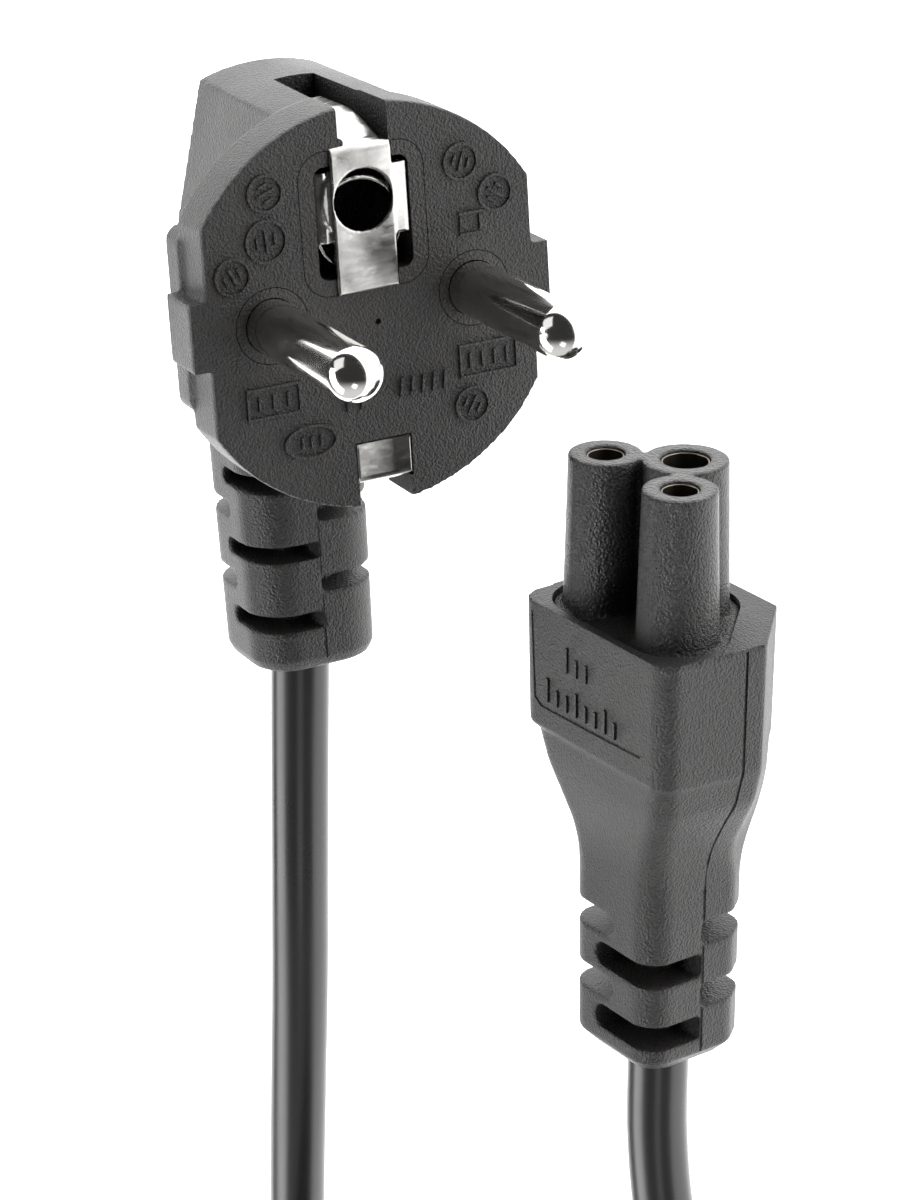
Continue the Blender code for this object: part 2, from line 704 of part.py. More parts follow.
# Cord stretches that are not coiled
def addCord(name, route, material):
    curve = bpy.data.curves.new(name, "CURVE")
    curve.dimensions = "3D"
    curve.bevel_depth = cordRadius
    curve.bevel_resolution = 3
    curve.use_fill_caps = True
    spline = curve.splines.new("POLY")
    knots = [Vector(point) * mm for point in route]
    dense = []
    for index in range(len(knots) - 1):
        before = knots[index - 1] if index > 0 else 2 * knots[0] - knots[1]
        start, end = knots[index], knots[index + 1]
        after = knots[index + 2] if index + 2 < len(knots) else 2 * end - start
        for step in range(2):
            t = step / 2
            dense.append(0.5 * (
                2 * start + (end - before) * t + (2 * before - 5 * start + 4 * end - after) * t * t
                + (3 * start - before - 3 * end + after) * t * t * t
            ))
    dense.append(knots[-1])
    spline.points.add(len(dense) - 1)
    for point, place in zip(spline.points, dense):
        point.co = (*place, 1.0)
    curve.materials.append(material)
    thing = bpy.data.objects.new(name, curve)
    partCollection.objects.link(thing)
    return thing


addCord("cord_plug_run", plugCordRoute, cordSheath)
addCord("cord_connector_run", connectorCordRoute, cordSheath)

# Coil: a ring round all its turns, open below the last turn where each stretch comes in
coilInside = innerLaneRadius - cordRadius - fitGap
outerLaneRadius = innerLaneRadius + (coilLanes - 1) * turnPitch
coilOutside = outerLaneRadius + cordRadius + fitGap
coilHeight = coilLayers * turnPitch + fitGap
coilSeat = addEmpty("coil_seat", (coilX, coilY, 0.0), Matrix.Identity(3))
form = bmesh.new()
post(form, (0.0, 0.0), 0.0, coilHeight, coilOutside, coilOutside, 72)
coil = finishMesh("cord_coil", form, coilSeat, cordSheath)
form = bmesh.new()
post(form, (0.0, 0.0), -overlap, coilHeight + overlap, coilInside, coilInside, 56)
combine(coil, finishMesh("coil_hole", form, coilSeat), "DIFFERENCE")
leadHeight = 2 * cordRadius + leadClearance
form = bmesh.new()
box(
    form, (entryLand, innerLaneRadius + turnPitch - cordRadius - leadClearance, -overlap),
    (coilOutside + overlap, coilOutside + overlap, leadHeight),
)
combine(coil, finishMesh("entry_way", form, coilSeat), "DIFFERENCE")
form = bmesh.new()
box(
    form, (exitLand, -coilOutside - overlap, -overlap),
    (coilOutside, cordRadius + leadClearance - outerLaneRadius, leadHeight),
)
combine(coil, finishMesh("exit_way", form, coilSeat), "DIFFERENCE")

# Tie round the coil's bundle on its far side, let into the coil's under side
tieInside = coilInside - fitGap
tieOutside = coilOutside + fitGap
form = bmesh.new()
box(
    form, (-tieOutside - overlap, -tieHalfWidth - fitGap, -overlap),
    (-tieInside + overlap, tieHalfWidth + fitGap, tieThickness + fitGap),
)
combine(coil, finishMesh("tie_groove", form, coilSeat), "DIFFERENCE")
form = bmesh.new()
box(
    form, (-tieOutside - tieThickness, -tieHalfWidth, 0.0),
    (-tieInside + tieThickness, tieHalfWidth, coilHeight + fitGap + tieThickness),
)
tie = finishMesh("coil_tie", form, coilSeat, tieStrap)
form = bmesh.new()
box(
    form, (-tieOutside, -tieHalfWidth - overlap, tieThickness),
    (-tieInside, tieHalfWidth + overlap, coilHeight + fitGap),
)
combine(tie, finishMesh("tie_inside", form, coilSeat), "DIFFERENCE")
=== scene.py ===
import math

import bmesh
import bpy
from mathutils import Matrix, Vector


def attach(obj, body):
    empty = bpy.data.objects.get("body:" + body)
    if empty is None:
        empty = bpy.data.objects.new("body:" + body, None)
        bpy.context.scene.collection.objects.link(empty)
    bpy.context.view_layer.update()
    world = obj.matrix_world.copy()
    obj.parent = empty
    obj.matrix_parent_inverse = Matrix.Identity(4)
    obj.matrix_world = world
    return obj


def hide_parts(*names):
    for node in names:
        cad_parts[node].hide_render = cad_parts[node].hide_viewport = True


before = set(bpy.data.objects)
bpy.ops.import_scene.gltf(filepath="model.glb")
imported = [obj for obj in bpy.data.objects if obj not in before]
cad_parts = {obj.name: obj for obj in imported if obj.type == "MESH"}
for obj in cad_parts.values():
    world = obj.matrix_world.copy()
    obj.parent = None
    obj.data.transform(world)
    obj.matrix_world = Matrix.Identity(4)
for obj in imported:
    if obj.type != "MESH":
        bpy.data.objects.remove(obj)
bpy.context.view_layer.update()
scene = bpy.context.scene
print("frame loaded")


# camera: the photograph's place and angle, metres
photoCamera = {
    "place": (0.11973, -0.22416, 0.25613),
    "right": (-0.0596, -0.7476, -0.6614),
    "up": (0.936, 0.1885, -0.2975),
    "back": (0.347, -0.6368, 0.6885),
    "lens": 120.0,
}


def addCamera(spec):
    data = bpy.data.cameras.new("photoCamera")
    data.lens = spec["lens"]
    data.sensor_width = 36.0
    data.clip_start = 0.01
    camera = bpy.data.objects.new("photoCamera", data)
    axes = Matrix((spec["right"], spec["up"], spec["back"])).transposed()
    turn = axes.to_quaternion().to_matrix().to_4x4()
    camera.matrix_world = Matrix.Translation(spec["place"]) @ turn
    scene.collection.objects.link(camera)
    scene.camera = camera


addCamera(photoCamera)


# small tools
def findNode(material, kind):
    return next(node for node in material.node_tree.nodes if node.type == kind)


def smoothStep(value):
    value = min(max(value, 0.0), 1.0)
    return value * value * (3.0 - 2.0 * value)


def linkObject(name, mesh):
    thing = bpy.data.objects.new(name, mesh)
    scene.collection.objects.link(thing)
    return thing


def finishForm(name, form):
    bmesh.ops.recalc_face_normals(form, faces=form.faces)
    mesh = bpy.data.meshes.new(name)
    form.to_mesh(mesh)
    form.free()
    return linkObject(name, mesh)


def combine(target, tool, operation):
    step = target.modifiers.new(tool.name, "BOOLEAN")
    step.operation = operation
    step.solver = "EXACT"
    step.object = tool


def settle(thing, tools=()):
    # keep what the modifiers make, and drop them and their tools
    bpy.context.view_layer.update()
    graph = bpy.context.evaluated_depsgraph_get()
    mesh = bpy.data.meshes.new_from_object(thing.evaluated_get(graph))
    thing.modifiers.clear()
    thing.data = mesh
    for tool in tools:
        bpy.data.objects.remove(tool, do_unlink=True)


def soften(thing, voxel, rounds, keep):
    # the small rounding that every moulded edge has
    remesh = thing.modifiers.new("remesh", "REMESH")
    remesh.mode = "VOXEL"
    remesh.voxel_size = voxel
    smooth = thing.modifiers.new("smooth", "SMOOTH")
    smooth.factor = 0.5
    smooth.iterations = rounds
    thin = thing.modifiers.new("thin", "DECIMATE")
    thin.ratio = keep
    settle(thing)


def prism(form, outline, low, high):
    base = [form.verts.new((point[0], point[1], low)) for point in outline]
    face = form.faces.new(base)
    raised = bmesh.ops.extrude_face_region(form, geom=[face])["geom"]
    lifted = [item for item in raised if isinstance(item, bmesh.types.BMVert)]
    bmesh.ops.translate(form, verts=lifted, vec=(0.0, 0.0, high - low))
    return lifted


def box(form, low, high, turn=0.0):
    middle = (Vector(low) + Vector(high)) / 2.0
    size = Vector(high) - Vector(low)
    place = Matrix.Translation(middle) @ Matrix.Rotation(turn, 4, "Z") @ Matrix.Diagonal((*size, 1.0))
    bmesh.ops.create_cube(form, size=1.0, matrix=place)


def prismPiece(name, outline, low, high):
    form = bmesh.new()
    prism(form, outline, low, high)
    return finishForm(name, form)


def boxPiece(name, low, high):
    form = bmesh.new()
    box(form, low, high)
    return finishForm(name, form)


def shifted(outline, across, along=0.0):
    return [(point.x + across, point.y + along) for point in outline]


def post(form, center, low, high, lowRadius, highRadius, segments=96):
    place = Matrix.Translation((center[0], center[1], (low + high) / 2.0))
    bmesh.ops.create_cone(
        form, cap_ends=True, segments=segments, radius1=lowRadius, radius2=highRadius,
        depth=high - low, matrix=place,
    )


def postPiece(name, centers, low, high, lowRadius, highRadius, segments=96):
    form = bmesh.new()
    for center in centers:
        post(form, center, low, high, lowRadius, highRadius, segments)
    return finishForm(name, form)


def loft(form, rings):
    made = [[form.verts.new(point) for point in ring] for ring in rings]
    count = len(rings[0])
    for lower, upper in zip(made, made[1:]):
        for index in range(count):
            after = (index + 1) % count
            form.faces.new((lower[index], lower[after], upper[after], upper[index]))
    form.faces.new(list(reversed(made[0])))
    form.faces.new(made[-1])


def loftPiece(name, rings):
    form = bmesh.new()
    loft(form, rings)
    return finishForm(name, form)


def roundedOutline(corners, radii, steps):
    points = []
    count = len(corners)
    for index in range(count):
        corner = Vector(corners[index])
        before = (Vector(corners[index - 1]) - corner).normalized()
        after = (Vector(corners[(index + 1) % count]) - corner).normalized()
        half = before.angle(after) / 2.0
        radius = radii[index]
        middle = corner + (before + after).normalized() * (radius / math.sin(half))
        start = corner + before * (radius / math.tan(half)) - middle
        end = corner + after * (radius / math.tan(half)) - middle
        turn = start.angle_signed(end)
        for step in range(steps + 1):
            points.append(middle + Matrix.Rotation(-turn * step / steps, 2) @ start)
    return points


def uprightRound(halfWidth, low, high, corner):
    return roundedOutline(
        [(-halfWidth, low), (halfWidth, low), (halfWidth, high), (-halfWidth, high)], [corner] * 4, 10
    )


def roundedSquare(half, corner, steps):
    return roundedOutline([(-half, -half), (half, -half), (half, half), (-half, half)], [corner] * 4, steps)


def ringWall(form, center, radius, width, low, high, segments=48, stretch=1.0):
    # a thin upright ring, or an oval one where stretch isn't 1
    outer, inner = radius + width / 2, radius - width / 2
    loops = []
    for reach, height in ((outer, low), (outer, high), (inner, high), (inner, low)):
        loops.append([
            form.verts.new((
                center[0] + reach * stretch * math.cos(2 * math.pi * step / segments),
                center[1] + reach * math.sin(2 * math.pi * step / segments), height,
            ))
            for step in range(segments)
        ])
    for index in range(4):
        here, there = loops[index], loops[(index + 1) % 4]
        for step in range(segments):
            after = (step + 1) % segments
            form.faces.new((here[step], here[after], there[after], there[step]))


def bar(form, center, length, width, angle, low, high):
    box(
        form, (center[0] - length / 2, center[1] - width / 2, low),
        (center[0] + length / 2, center[1] + width / 2, high), angle,
    )


def frameLines(form, center, size, width, low, high):
    # four thin walls round a rectangle, without shared corners
    x, y = center
    halfX, halfY = size[0] / 2, size[1] / 2
    for side in (-1, 1):
        bar(form, (x, y + side * halfY), 2 * halfX + width, width, 0.0, low, high)
        bar(form, (x + side * halfX, y), width, 2 * halfY - width * 1.1, 0.0, low, high)


def roundLine(name, points, radius, resolution):
    curve = bpy.data.curves.new(name, "CURVE")
    curve.dimensions = "3D"
    curve.bevel_depth = radius
    curve.bevel_resolution = resolution
    curve.use_fill_caps = True
    spline = curve.splines.new("POLY")
    spline.points.add(len(points) - 1)
    for knot, point in zip(spline.points, points):
        knot.co = (*point, 1.0)
    spline.use_smooth = True
    return linkObject(name, curve)


def thread(name, points, radius):
    # a thin round line through points, as a closed mesh
    temporary = roundLine(name, points, radius, 2)
    bpy.context.view_layer.update()
    graph = bpy.context.evaluated_depsgraph_get()
    mesh = bpy.data.meshes.new_from_object(temporary.evaluated_get(graph))
    bpy.data.objects.remove(temporary, do_unlink=True)
    form = bmesh.new()
    form.from_mesh(mesh)
    bmesh.ops.remove_doubles(form, verts=form.verts, dist=radius * 0.01)
    return finishForm(name, form)


def turned(name, profile, steps):
    # a profile of (radius, height) points turned about the upright axis
    mesh = bpy.data.meshes.new(name)
    mesh.from_pydata([(x, 0.0, z) for x, z in profile], [(i, i + 1) for i in range(len(profile) - 1)], [])
    thing = linkObject(name, mesh)
    turn = thing.modifiers.new("turn", "SCREW")
    turn.steps = turn.render_steps = steps
    turn.use_merge_vertices = True
    turn.merge_threshold = 0.0001
    settle(thing)
    return thing


def shade(thing, degrees):
    thing.data.shade_smooth()
    thing.data.set_sharp_from_angle(angle=math.radians(degrees))


def seatPiece(thing, seat, material, slot, degrees, *nodes):
    # from the piece's own millimetres to its place in the frame
    thing.data.transform(seat @ Matrix.Scale(0.001, 4))
    thing.data.materials.clear()
    thing.data.materials.append(material)
    shade(thing, degrees)
    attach(thing, "root")
    if nodes:
        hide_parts(*nodes)


# where the plug and the connector lie: the same seats as the solids have
seats = {
    "plugPlace": (0.025, 0.0029, 0.01774),
    "restTilt": 22.6,
    "connectorPlace": (-0.00054, -0.02013, 0.01188),
    "connectorRoll": -13.4,
    "connectorYaw": -4.2,
}
tilt = math.radians(seats["restTilt"])
plugSeat = Matrix.Translation(seats["plugPlace"]) @ Matrix((
    (0.0, 1.0, 0.0),
    (-math.sin(tilt), 0.0, -math.cos(tilt)),
    (-math.cos(tilt), 0.0, math.sin(tilt)),
)).to_4x4()
connectorSeat = (
    Matrix.Translation(seats["connectorPlace"])
    @ Matrix.Rotation(math.radians(seats["connectorYaw"]), 4, "Z")
    @ Matrix.Rotation(math.radians(seats["connectorRoll"]), 4, "X")
    @ Matrix(((0.0, 0.0, 1.0), (-1.0, 0.0, 0.0), (0.0, -1.0, 0.0))).to_4x4()
)


# finishes
def newMaterial(name, color, metallic, roughness):
    material = bpy.data.materials.new(name)
    material.use_nodes = True
    shader = findNode(material, "BSDF_PRINCIPLED")
    shader.inputs["Base Color"].default_value = (*color, 1.0)
    shader.inputs["Metallic"].default_value = metallic
    shader.inputs["Roughness"].default_value = roughness
    return material, shader, material.node_tree.nodes, material.node_tree.links


def addNoise(nodes, links, scale, detail, stretch=(1.0, 1.0, 1.0)):
    place = nodes.new("ShaderNodeTexCoord")
    mapping = nodes.new("ShaderNodeMapping")
    mapping.inputs["Scale"].default_value = stretch
    noise = nodes.new("ShaderNodeTexNoise")
    noise.inputs["Scale"].default_value = scale
    noise.inputs["Detail"].default_value = detail
    links.new(place.outputs["Object"], mapping.inputs["Vector"])
    links.new(mapping.outputs["Vector"], noise.inputs["Vector"])
    return noise


def spread(nodes, links, source, low, high):
    reach = nodes.new("ShaderNodeMapRange")
    reach.inputs["From Min"].default_value = 0.3
    reach.inputs["From Max"].default_value = 0.7
    reach.inputs["To Min"].default_value = low
    reach.inputs["To Max"].default_value = high
    links.new(source, reach.inputs["Value"])
    return reach.outputs["Result"]


def addBump(nodes, links, shader, source, strength, distance):
    bump = nodes.new("ShaderNodeBump")
    bump.inputs["Strength"].default_value = strength
    bump.inputs["Distance"].default_value = distance
    links.new(source, bump.inputs["Height"])
    links.new(bump.outputs["Normal"], shader.inputs["Normal"])
    return bump


def grainyPlastic(name, finish):
    material, shader, nodes, links = newMaterial(name, finish["color"], 0.0, finish["roughness"])
    shader.inputs["IOR"].default_value = finish["ior"]
    fine = addNoise(nodes, links, finish["grain"], 3.0)
    broad = addNoise(nodes, links, finish["patch"], 4.0)
    # the fine noise sets the colour darker and lighter in specks: random grain tone, and the bright specks
    # are also painted glints
    grainAndGlintTone = nodes.new("ShaderNodeValToRGB")
    grainAndGlintTone.color_ramp.elements[0].position = 0.3
    grainAndGlintTone.color_ramp.elements[1].position = 0.7
    grainAndGlintTone.color_ramp.elements[0].color = (*[c * finish["dark"] for c in finish["color"]], 1.0)
    grainAndGlintTone.color_ramp.elements[1].color = (*[c * finish["light"] for c in finish["color"]], 1.0)
    mix = nodes.new("ShaderNodeMath")
    mix.operation = "MULTIPLY_ADD"
    mix.inputs[1].default_value = 0.6
    links.new(fine.outputs["Fac"], mix.inputs[0])
    half = nodes.new("ShaderNodeMath")
    half.operation = "MULTIPLY"
    half.inputs[1].default_value = 0.4
    links.new(broad.outputs["Fac"], half.inputs[0])
    links.new(half.outputs["Value"], mix.inputs[2])
    links.new(mix.outputs["Value"], grainAndGlintTone.inputs["Fac"])
    links.new(grainAndGlintTone.outputs["Color"], shader.inputs["Base Color"])
    links.new(
        spread(nodes, links, broad.outputs["Fac"], finish["roughness"] - 0.04, finish["roughness"] + 0.04),
        shader.inputs["Roughness"],
    )
    addBump(nodes, links, shader, fine.outputs["Fac"], finish["bump"], finish["depth"])
    return material


# body plastic: its strong bright specks are painted glints as well as grain
bodyPlastic = grainyPlastic("bodyPlastic", {
    "color": (0.019, 0.0172, 0.0165), "roughness": 0.4, "ior": 1.54,
    "grain": 4600.0, "patch": 160.0, "dark": 0.45, "light": 1.75, "bump": 1.0, "depth": 0.00026,
})
insertPlastic = grainyPlastic("insertPlastic", {
    "color": (0.027, 0.0245, 0.0235), "roughness": 0.42, "ior": 1.52,
    "grain": 4200.0, "patch": 200.0, "dark": 0.7, "light": 1.3, "bump": 1.0, "depth": 0.00022,
})
towerPlastic = grainyPlastic("towerPlastic", {
    "color": (0.017, 0.0155, 0.015), "roughness": 0.25, "ior": 1.55,
    "grain": 4400.0, "patch": 120.0, "dark": 0.7, "light": 1.4, "bump": 1.0, "depth": 0.0003,
})
sheath = grainyPlastic("cordSheath", {
    "color": (0.016, 0.015, 0.015), "roughness": 0.3, "ior": 1.5,
    "grain": 2600.0, "patch": 60.0, "dark": 0.9, "light": 1.1, "bump": 0.06, "depth": 0.00003,
})
strapPlastic = grainyPlastic("strapPlastic", {
    "color": (0.03, 0.03, 0.03), "roughness": 0.5, "ior": 1.46,
    "grain": 1800.0, "patch": 200.0, "dark": 0.8, "light": 1.2, "bump": 0.3, "depth": 0.00004,
})


def streakedMetal(name, finish):
    material, shader, nodes, links = newMaterial(name, finish["color"], 1.0, finish["roughness"])
    streaks = addNoise(nodes, links, finish["grain"], 3.0, finish["stretch"])
    links.new(
        spread(nodes, links, streaks.outputs["Fac"], finish["roughness"] * 0.7, finish["roughness"] * 1.4),
        shader.inputs["Roughness"],
    )
    waves = addNoise(nodes, links, finish["wave"], 1.0)
    height = nodes.new("ShaderNodeMath")
    height.operation = "MULTIPLY_ADD"
    height.inputs[1].default_value = finish["streak"]
    links.new(streaks.outputs["Fac"], height.inputs[0])
    links.new(waves.outputs["Fac"], height.inputs[2])
    addBump(nodes, links, shader, height.outputs["Value"], finish["bump"], finish["depth"])
    return material


pinMetal = streakedMetal("pinMetal", {
    "color": (0.84, 0.825, 0.8), "roughness": 0.13, "grain": 900.0, "stretch": (1.0, 0.15, 1.0),
    "wave": 150.0, "streak": 0.1, "bump": 0.1, "depth": 0.00003,
})
sheetMetal = streakedMetal("sheetMetal", {
    "color": (0.47, 0.465, 0.45), "roughness": 0.2, "grain": 1500.0, "stretch": (1.0, 1.0, 0.2),
    "wave": 260.0, "streak": 0.12, "bump": 0.4, "depth": 0.0002,
})
socketMetal = streakedMetal("socketMetal", {
    "color": (0.27, 0.235, 0.19), "roughness": 0.3, "grain": 1200.0, "stretch": (0.2, 1.0, 1.0),
    "wave": 300.0, "streak": 0.2, "bump": 0.3, "depth": 0.00005,
})
# the same brass with its colour darkened, for the faces inside the bores: painted shade down the holes
socketBorePaintedShade = streakedMetal("socketBorePaintedShade", {
    "color": (0.05, 0.042, 0.035), "roughness": 0.5, "grain": 1200.0, "stretch": (0.2, 1.0, 1.0),
    "wave": 300.0, "streak": 0.2, "bump": 0.3, "depth": 0.00005,
})
print("finishes made")


# cord: route from the plug, turns of the coil, route to the connector, in metres
cordSizes = {
    "radius": 0.00275,
    "plugRoute": [
        (-0.0139, 0.0237, 0.00917), (-0.0256, 0.0249, 0.00917), (-0.0376, 0.0262, 0.00905),
        (-0.0496, 0.0278, 0.00865), (-0.0616, 0.0299, 0.0079), (-0.0716, 0.0320, 0.0069),
        (-0.0816, 0.0344, 0.0055), (-0.0896, 0.0362, 0.0042), (-0.0966, 0.0374, 0.0032),
        (-0.1042, 0.03765, 0.00278),
    ],
    "connectorRoute": [
        (-0.0426, -0.0177, 0.00916), (-0.0526, -0.0170, 0.0091), (-0.0626, -0.0173, 0.0085),
        (-0.0726, -0.0199, 0.0072), (-0.0826, -0.0256, 0.0056), (-0.0926, -0.0322, 0.0041),
        (-0.1026, -0.0363, 0.0031), (-0.1130, -0.0369, 0.0028), (-0.1252, -0.0369, 0.00278),
    ],
    "coilCenter": (-0.1255, 0.0032),
    "innerLane": 0.0288,
    "turnPitch": 0.00565,
    "layerPitch": 0.00562,
    "tieLift": 0.00064,
    "tieSpan": (10, 14),
    "intoPlug": 0.0012,
    "intoConnector": 0.0008,
    "startLane": 1,
    "turns": (90, 2790),
    "laneChanges": [(330, 410, -1), (910, 990, 1), (1490, 1570, -1), (2070, 2150, 1), (2350, 2430, 1)],
    "layerChanges": [(630, 690, 1), (1210, 1270, 1), (1790, 1850, 1), (2430, 2730, -3)],
    "spacing": 0.0025,
}


def smoothRoute(points, steps):
    dense = []
    knots = [Vector(point) for point in points]
    for index in range(len(knots) - 1):
        before = knots[index - 1] if index > 0 else 2 * knots[0] - knots[1]
        start, end = knots[index], knots[index + 1]
        after = knots[index + 2] if index + 2 < len(knots) else 2 * end - start
        for step in range(steps):
            t = step / steps
            dense.append(0.5 * (
                2 * start + (end - before) * t + (2 * before - 5 * start + 4 * end - after) * t * t
                + (3 * start - before - 3 * end + after) * t * t * t
            ))
    dense.append(knots[-1])
    return dense


def coilPoint(spec, degrees):
    lane = spec["startLane"]
    layer = 0.0
    for start, end, change in spec["laneChanges"]:
        lane += change * smoothStep((degrees - start) / (end - start))
    for start, end, change in spec["layerChanges"]:
        layer += change * smoothStep((degrees - start) / (end - start))
    reach = spec["innerLane"] + lane * spec["turnPitch"]
    angle = math.radians(degrees)
    flat, slope = spec["tieSpan"]
    overTie = smoothStep(1.0 - (abs((degrees % 360) - 180) - flat) / slope)
    return Vector((
        spec["coilCenter"][0] + reach * math.cos(angle),
        spec["coilCenter"][1] + reach * math.sin(angle),
        spec["plugRoute"][-1][2] + layer * spec["layerPitch"] + overTie * spec["tieLift"],
    ))


def evenly(points, spacing):
    kept = [points[0]]
    gone = 0.0
    for before, after in zip(points, points[1:]):
        gone += (after - before).length
        if gone >= spacing:
            kept.append(after)
            gone = 0.0
    if (kept[-1] - points[-1]).length > spacing * 0.2:
        kept.append(points[-1])
    else:
        kept[-1] = points[-1]
    return kept


def makeCord(spec):
    first, last = spec["turns"]
    turns = [coilPoint(spec, degrees) for degrees in range(first, last + 1, 2)]
    plugSide = smoothRoute(spec["plugRoute"], 24)
    connectorSide = smoothRoute(spec["connectorRoute"], 24)
    lead = [plugSide[-1].lerp(turns[0], step / 20) for step in range(1, 20)]
    line = evenly(plugSide + lead + turns + connectorSide[::-1][1:], spec["spacing"])
    inPlug = line[0] + (line[0] - line[1]).normalized() * spec["intoPlug"]
    inConnector = line[-1] + (line[-1] - line[-2]).normalized() * spec["intoConnector"]
    line = [inPlug] + line + [inConnector]
    cord = roundLine("cord", line, spec["radius"], 10)
    cord.data.materials.append(sheath)
    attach(cord, "root")
    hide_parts("cord_plug_run", "cord_connector_run", "cord_coil")
    return cord, line


cord, cordLine = makeCord(cordSizes)
print("cord laid", round(sum((b - a).length for a, b in zip(cordLine, cordLine[1:])), 4))


def makeSlots(name, slots, reach, turn, toPoint):
    # staggered pairs of slots, with a round end past the middle and a square one at the seam
    form = bmesh.new()
    half = slots["height"] / 2
    for level in range(slots["count"]):
        height = slots["first"] - level * slots["pitch"]
        stagger = turn if level % 2 == 0 else -turn
        for side in (-1, 1):
            low, high = sorted((side * reach, -side * slots["past"][level % 2]))
            floor, roof = height - half, height + half
            corners = [(low, floor), (high, floor), (high, roof), (low, roof)]
            outline = roundedOutline(corners, [half * 0.95] * 4, 8)
            loft(form, [
                [toPoint(point.x, point.y, stagger * side * depth) for point in outline]
                for depth in (0.03, reach)
            ])
    return finishForm(name, form)


# plug moulding, millimetres: u across the pins, v away from the cord, n out of the face
plugSizes = {
    "faceRadius": 17.8,
    "flat": 15.3,
    "ear": (16.9, 3.0),
    "flange": 5.2,
    "notch": (2.36, -14.9),
    "overlap": 0.3,
    "wing": (15.6, 8.2, 7.8, 1.4),
    "hoodSides": [(5.95, 16.6), (8.9, 0.5), (8.9, -4.0), (6.7, -16.0)],
    "hoodBackScale": 0.91,
    "hoodDepths": (22.0, 28.7, -16.0),
    "reliefDepth": 22.3,
    "reliefHalves": (6.35, 6.1),
    "reliefCorner": 4.0,
    "reliefSpan": (-14.0, -38.6),
    "reliefChamfer": 1.3,
    "slots": {"first": -20.0, "pitch": 3.4, "height": 1.5, "depth": 3.3, "count": 5, "past": (0.35, 0.6)},
    "frame": (5.8, 1.6, 14.15, 2.4, 5.0),
    "well": (4.4, 3.0, 12.85, 0.9, 8.0),
    "contactShift": -0.42,
    "slotFloor": 13.9,
    "nub": (14.6, 0.45),
    "bridge": (12.6, 3.3, 6.6, 4.2),
    "collar": (9.5, 3.3),
    "seam": 0.07,
    "hiddenGap": 0.3,
    "clip": (2.6, -11.9, 0.08),
    "softness": (0.23, 2, 0.5),
}


def plugFaceOutline(spec):
    radius = spec["faceRadius"]
    notchHalf, notchTop = spec["notch"]
    earReach, earHalf = spec["ear"]

    def arc(startAngle, endAngle, count):
        return [
            (radius * math.cos(startAngle + (endAngle - startAngle) * step / count),
             radius * math.sin(startAngle + (endAngle - startAngle) * step / count))
            for step in range(count + 1)
        ]

    notchAngle = math.acos(notchHalf / radius)
    flatAngle = math.acos(spec["flat"] / radius)
    right = [(notchHalf, notchTop)] + arc(-notchAngle, -flatAngle, 40)
    right += [(spec["flat"], -earHalf), (earReach, -earHalf), (earReach, earHalf), (spec["flat"], earHalf)]
    right += arc(flatAngle, notchAngle, 40)
    return right + [(-x, y) for x, y in reversed(right)]


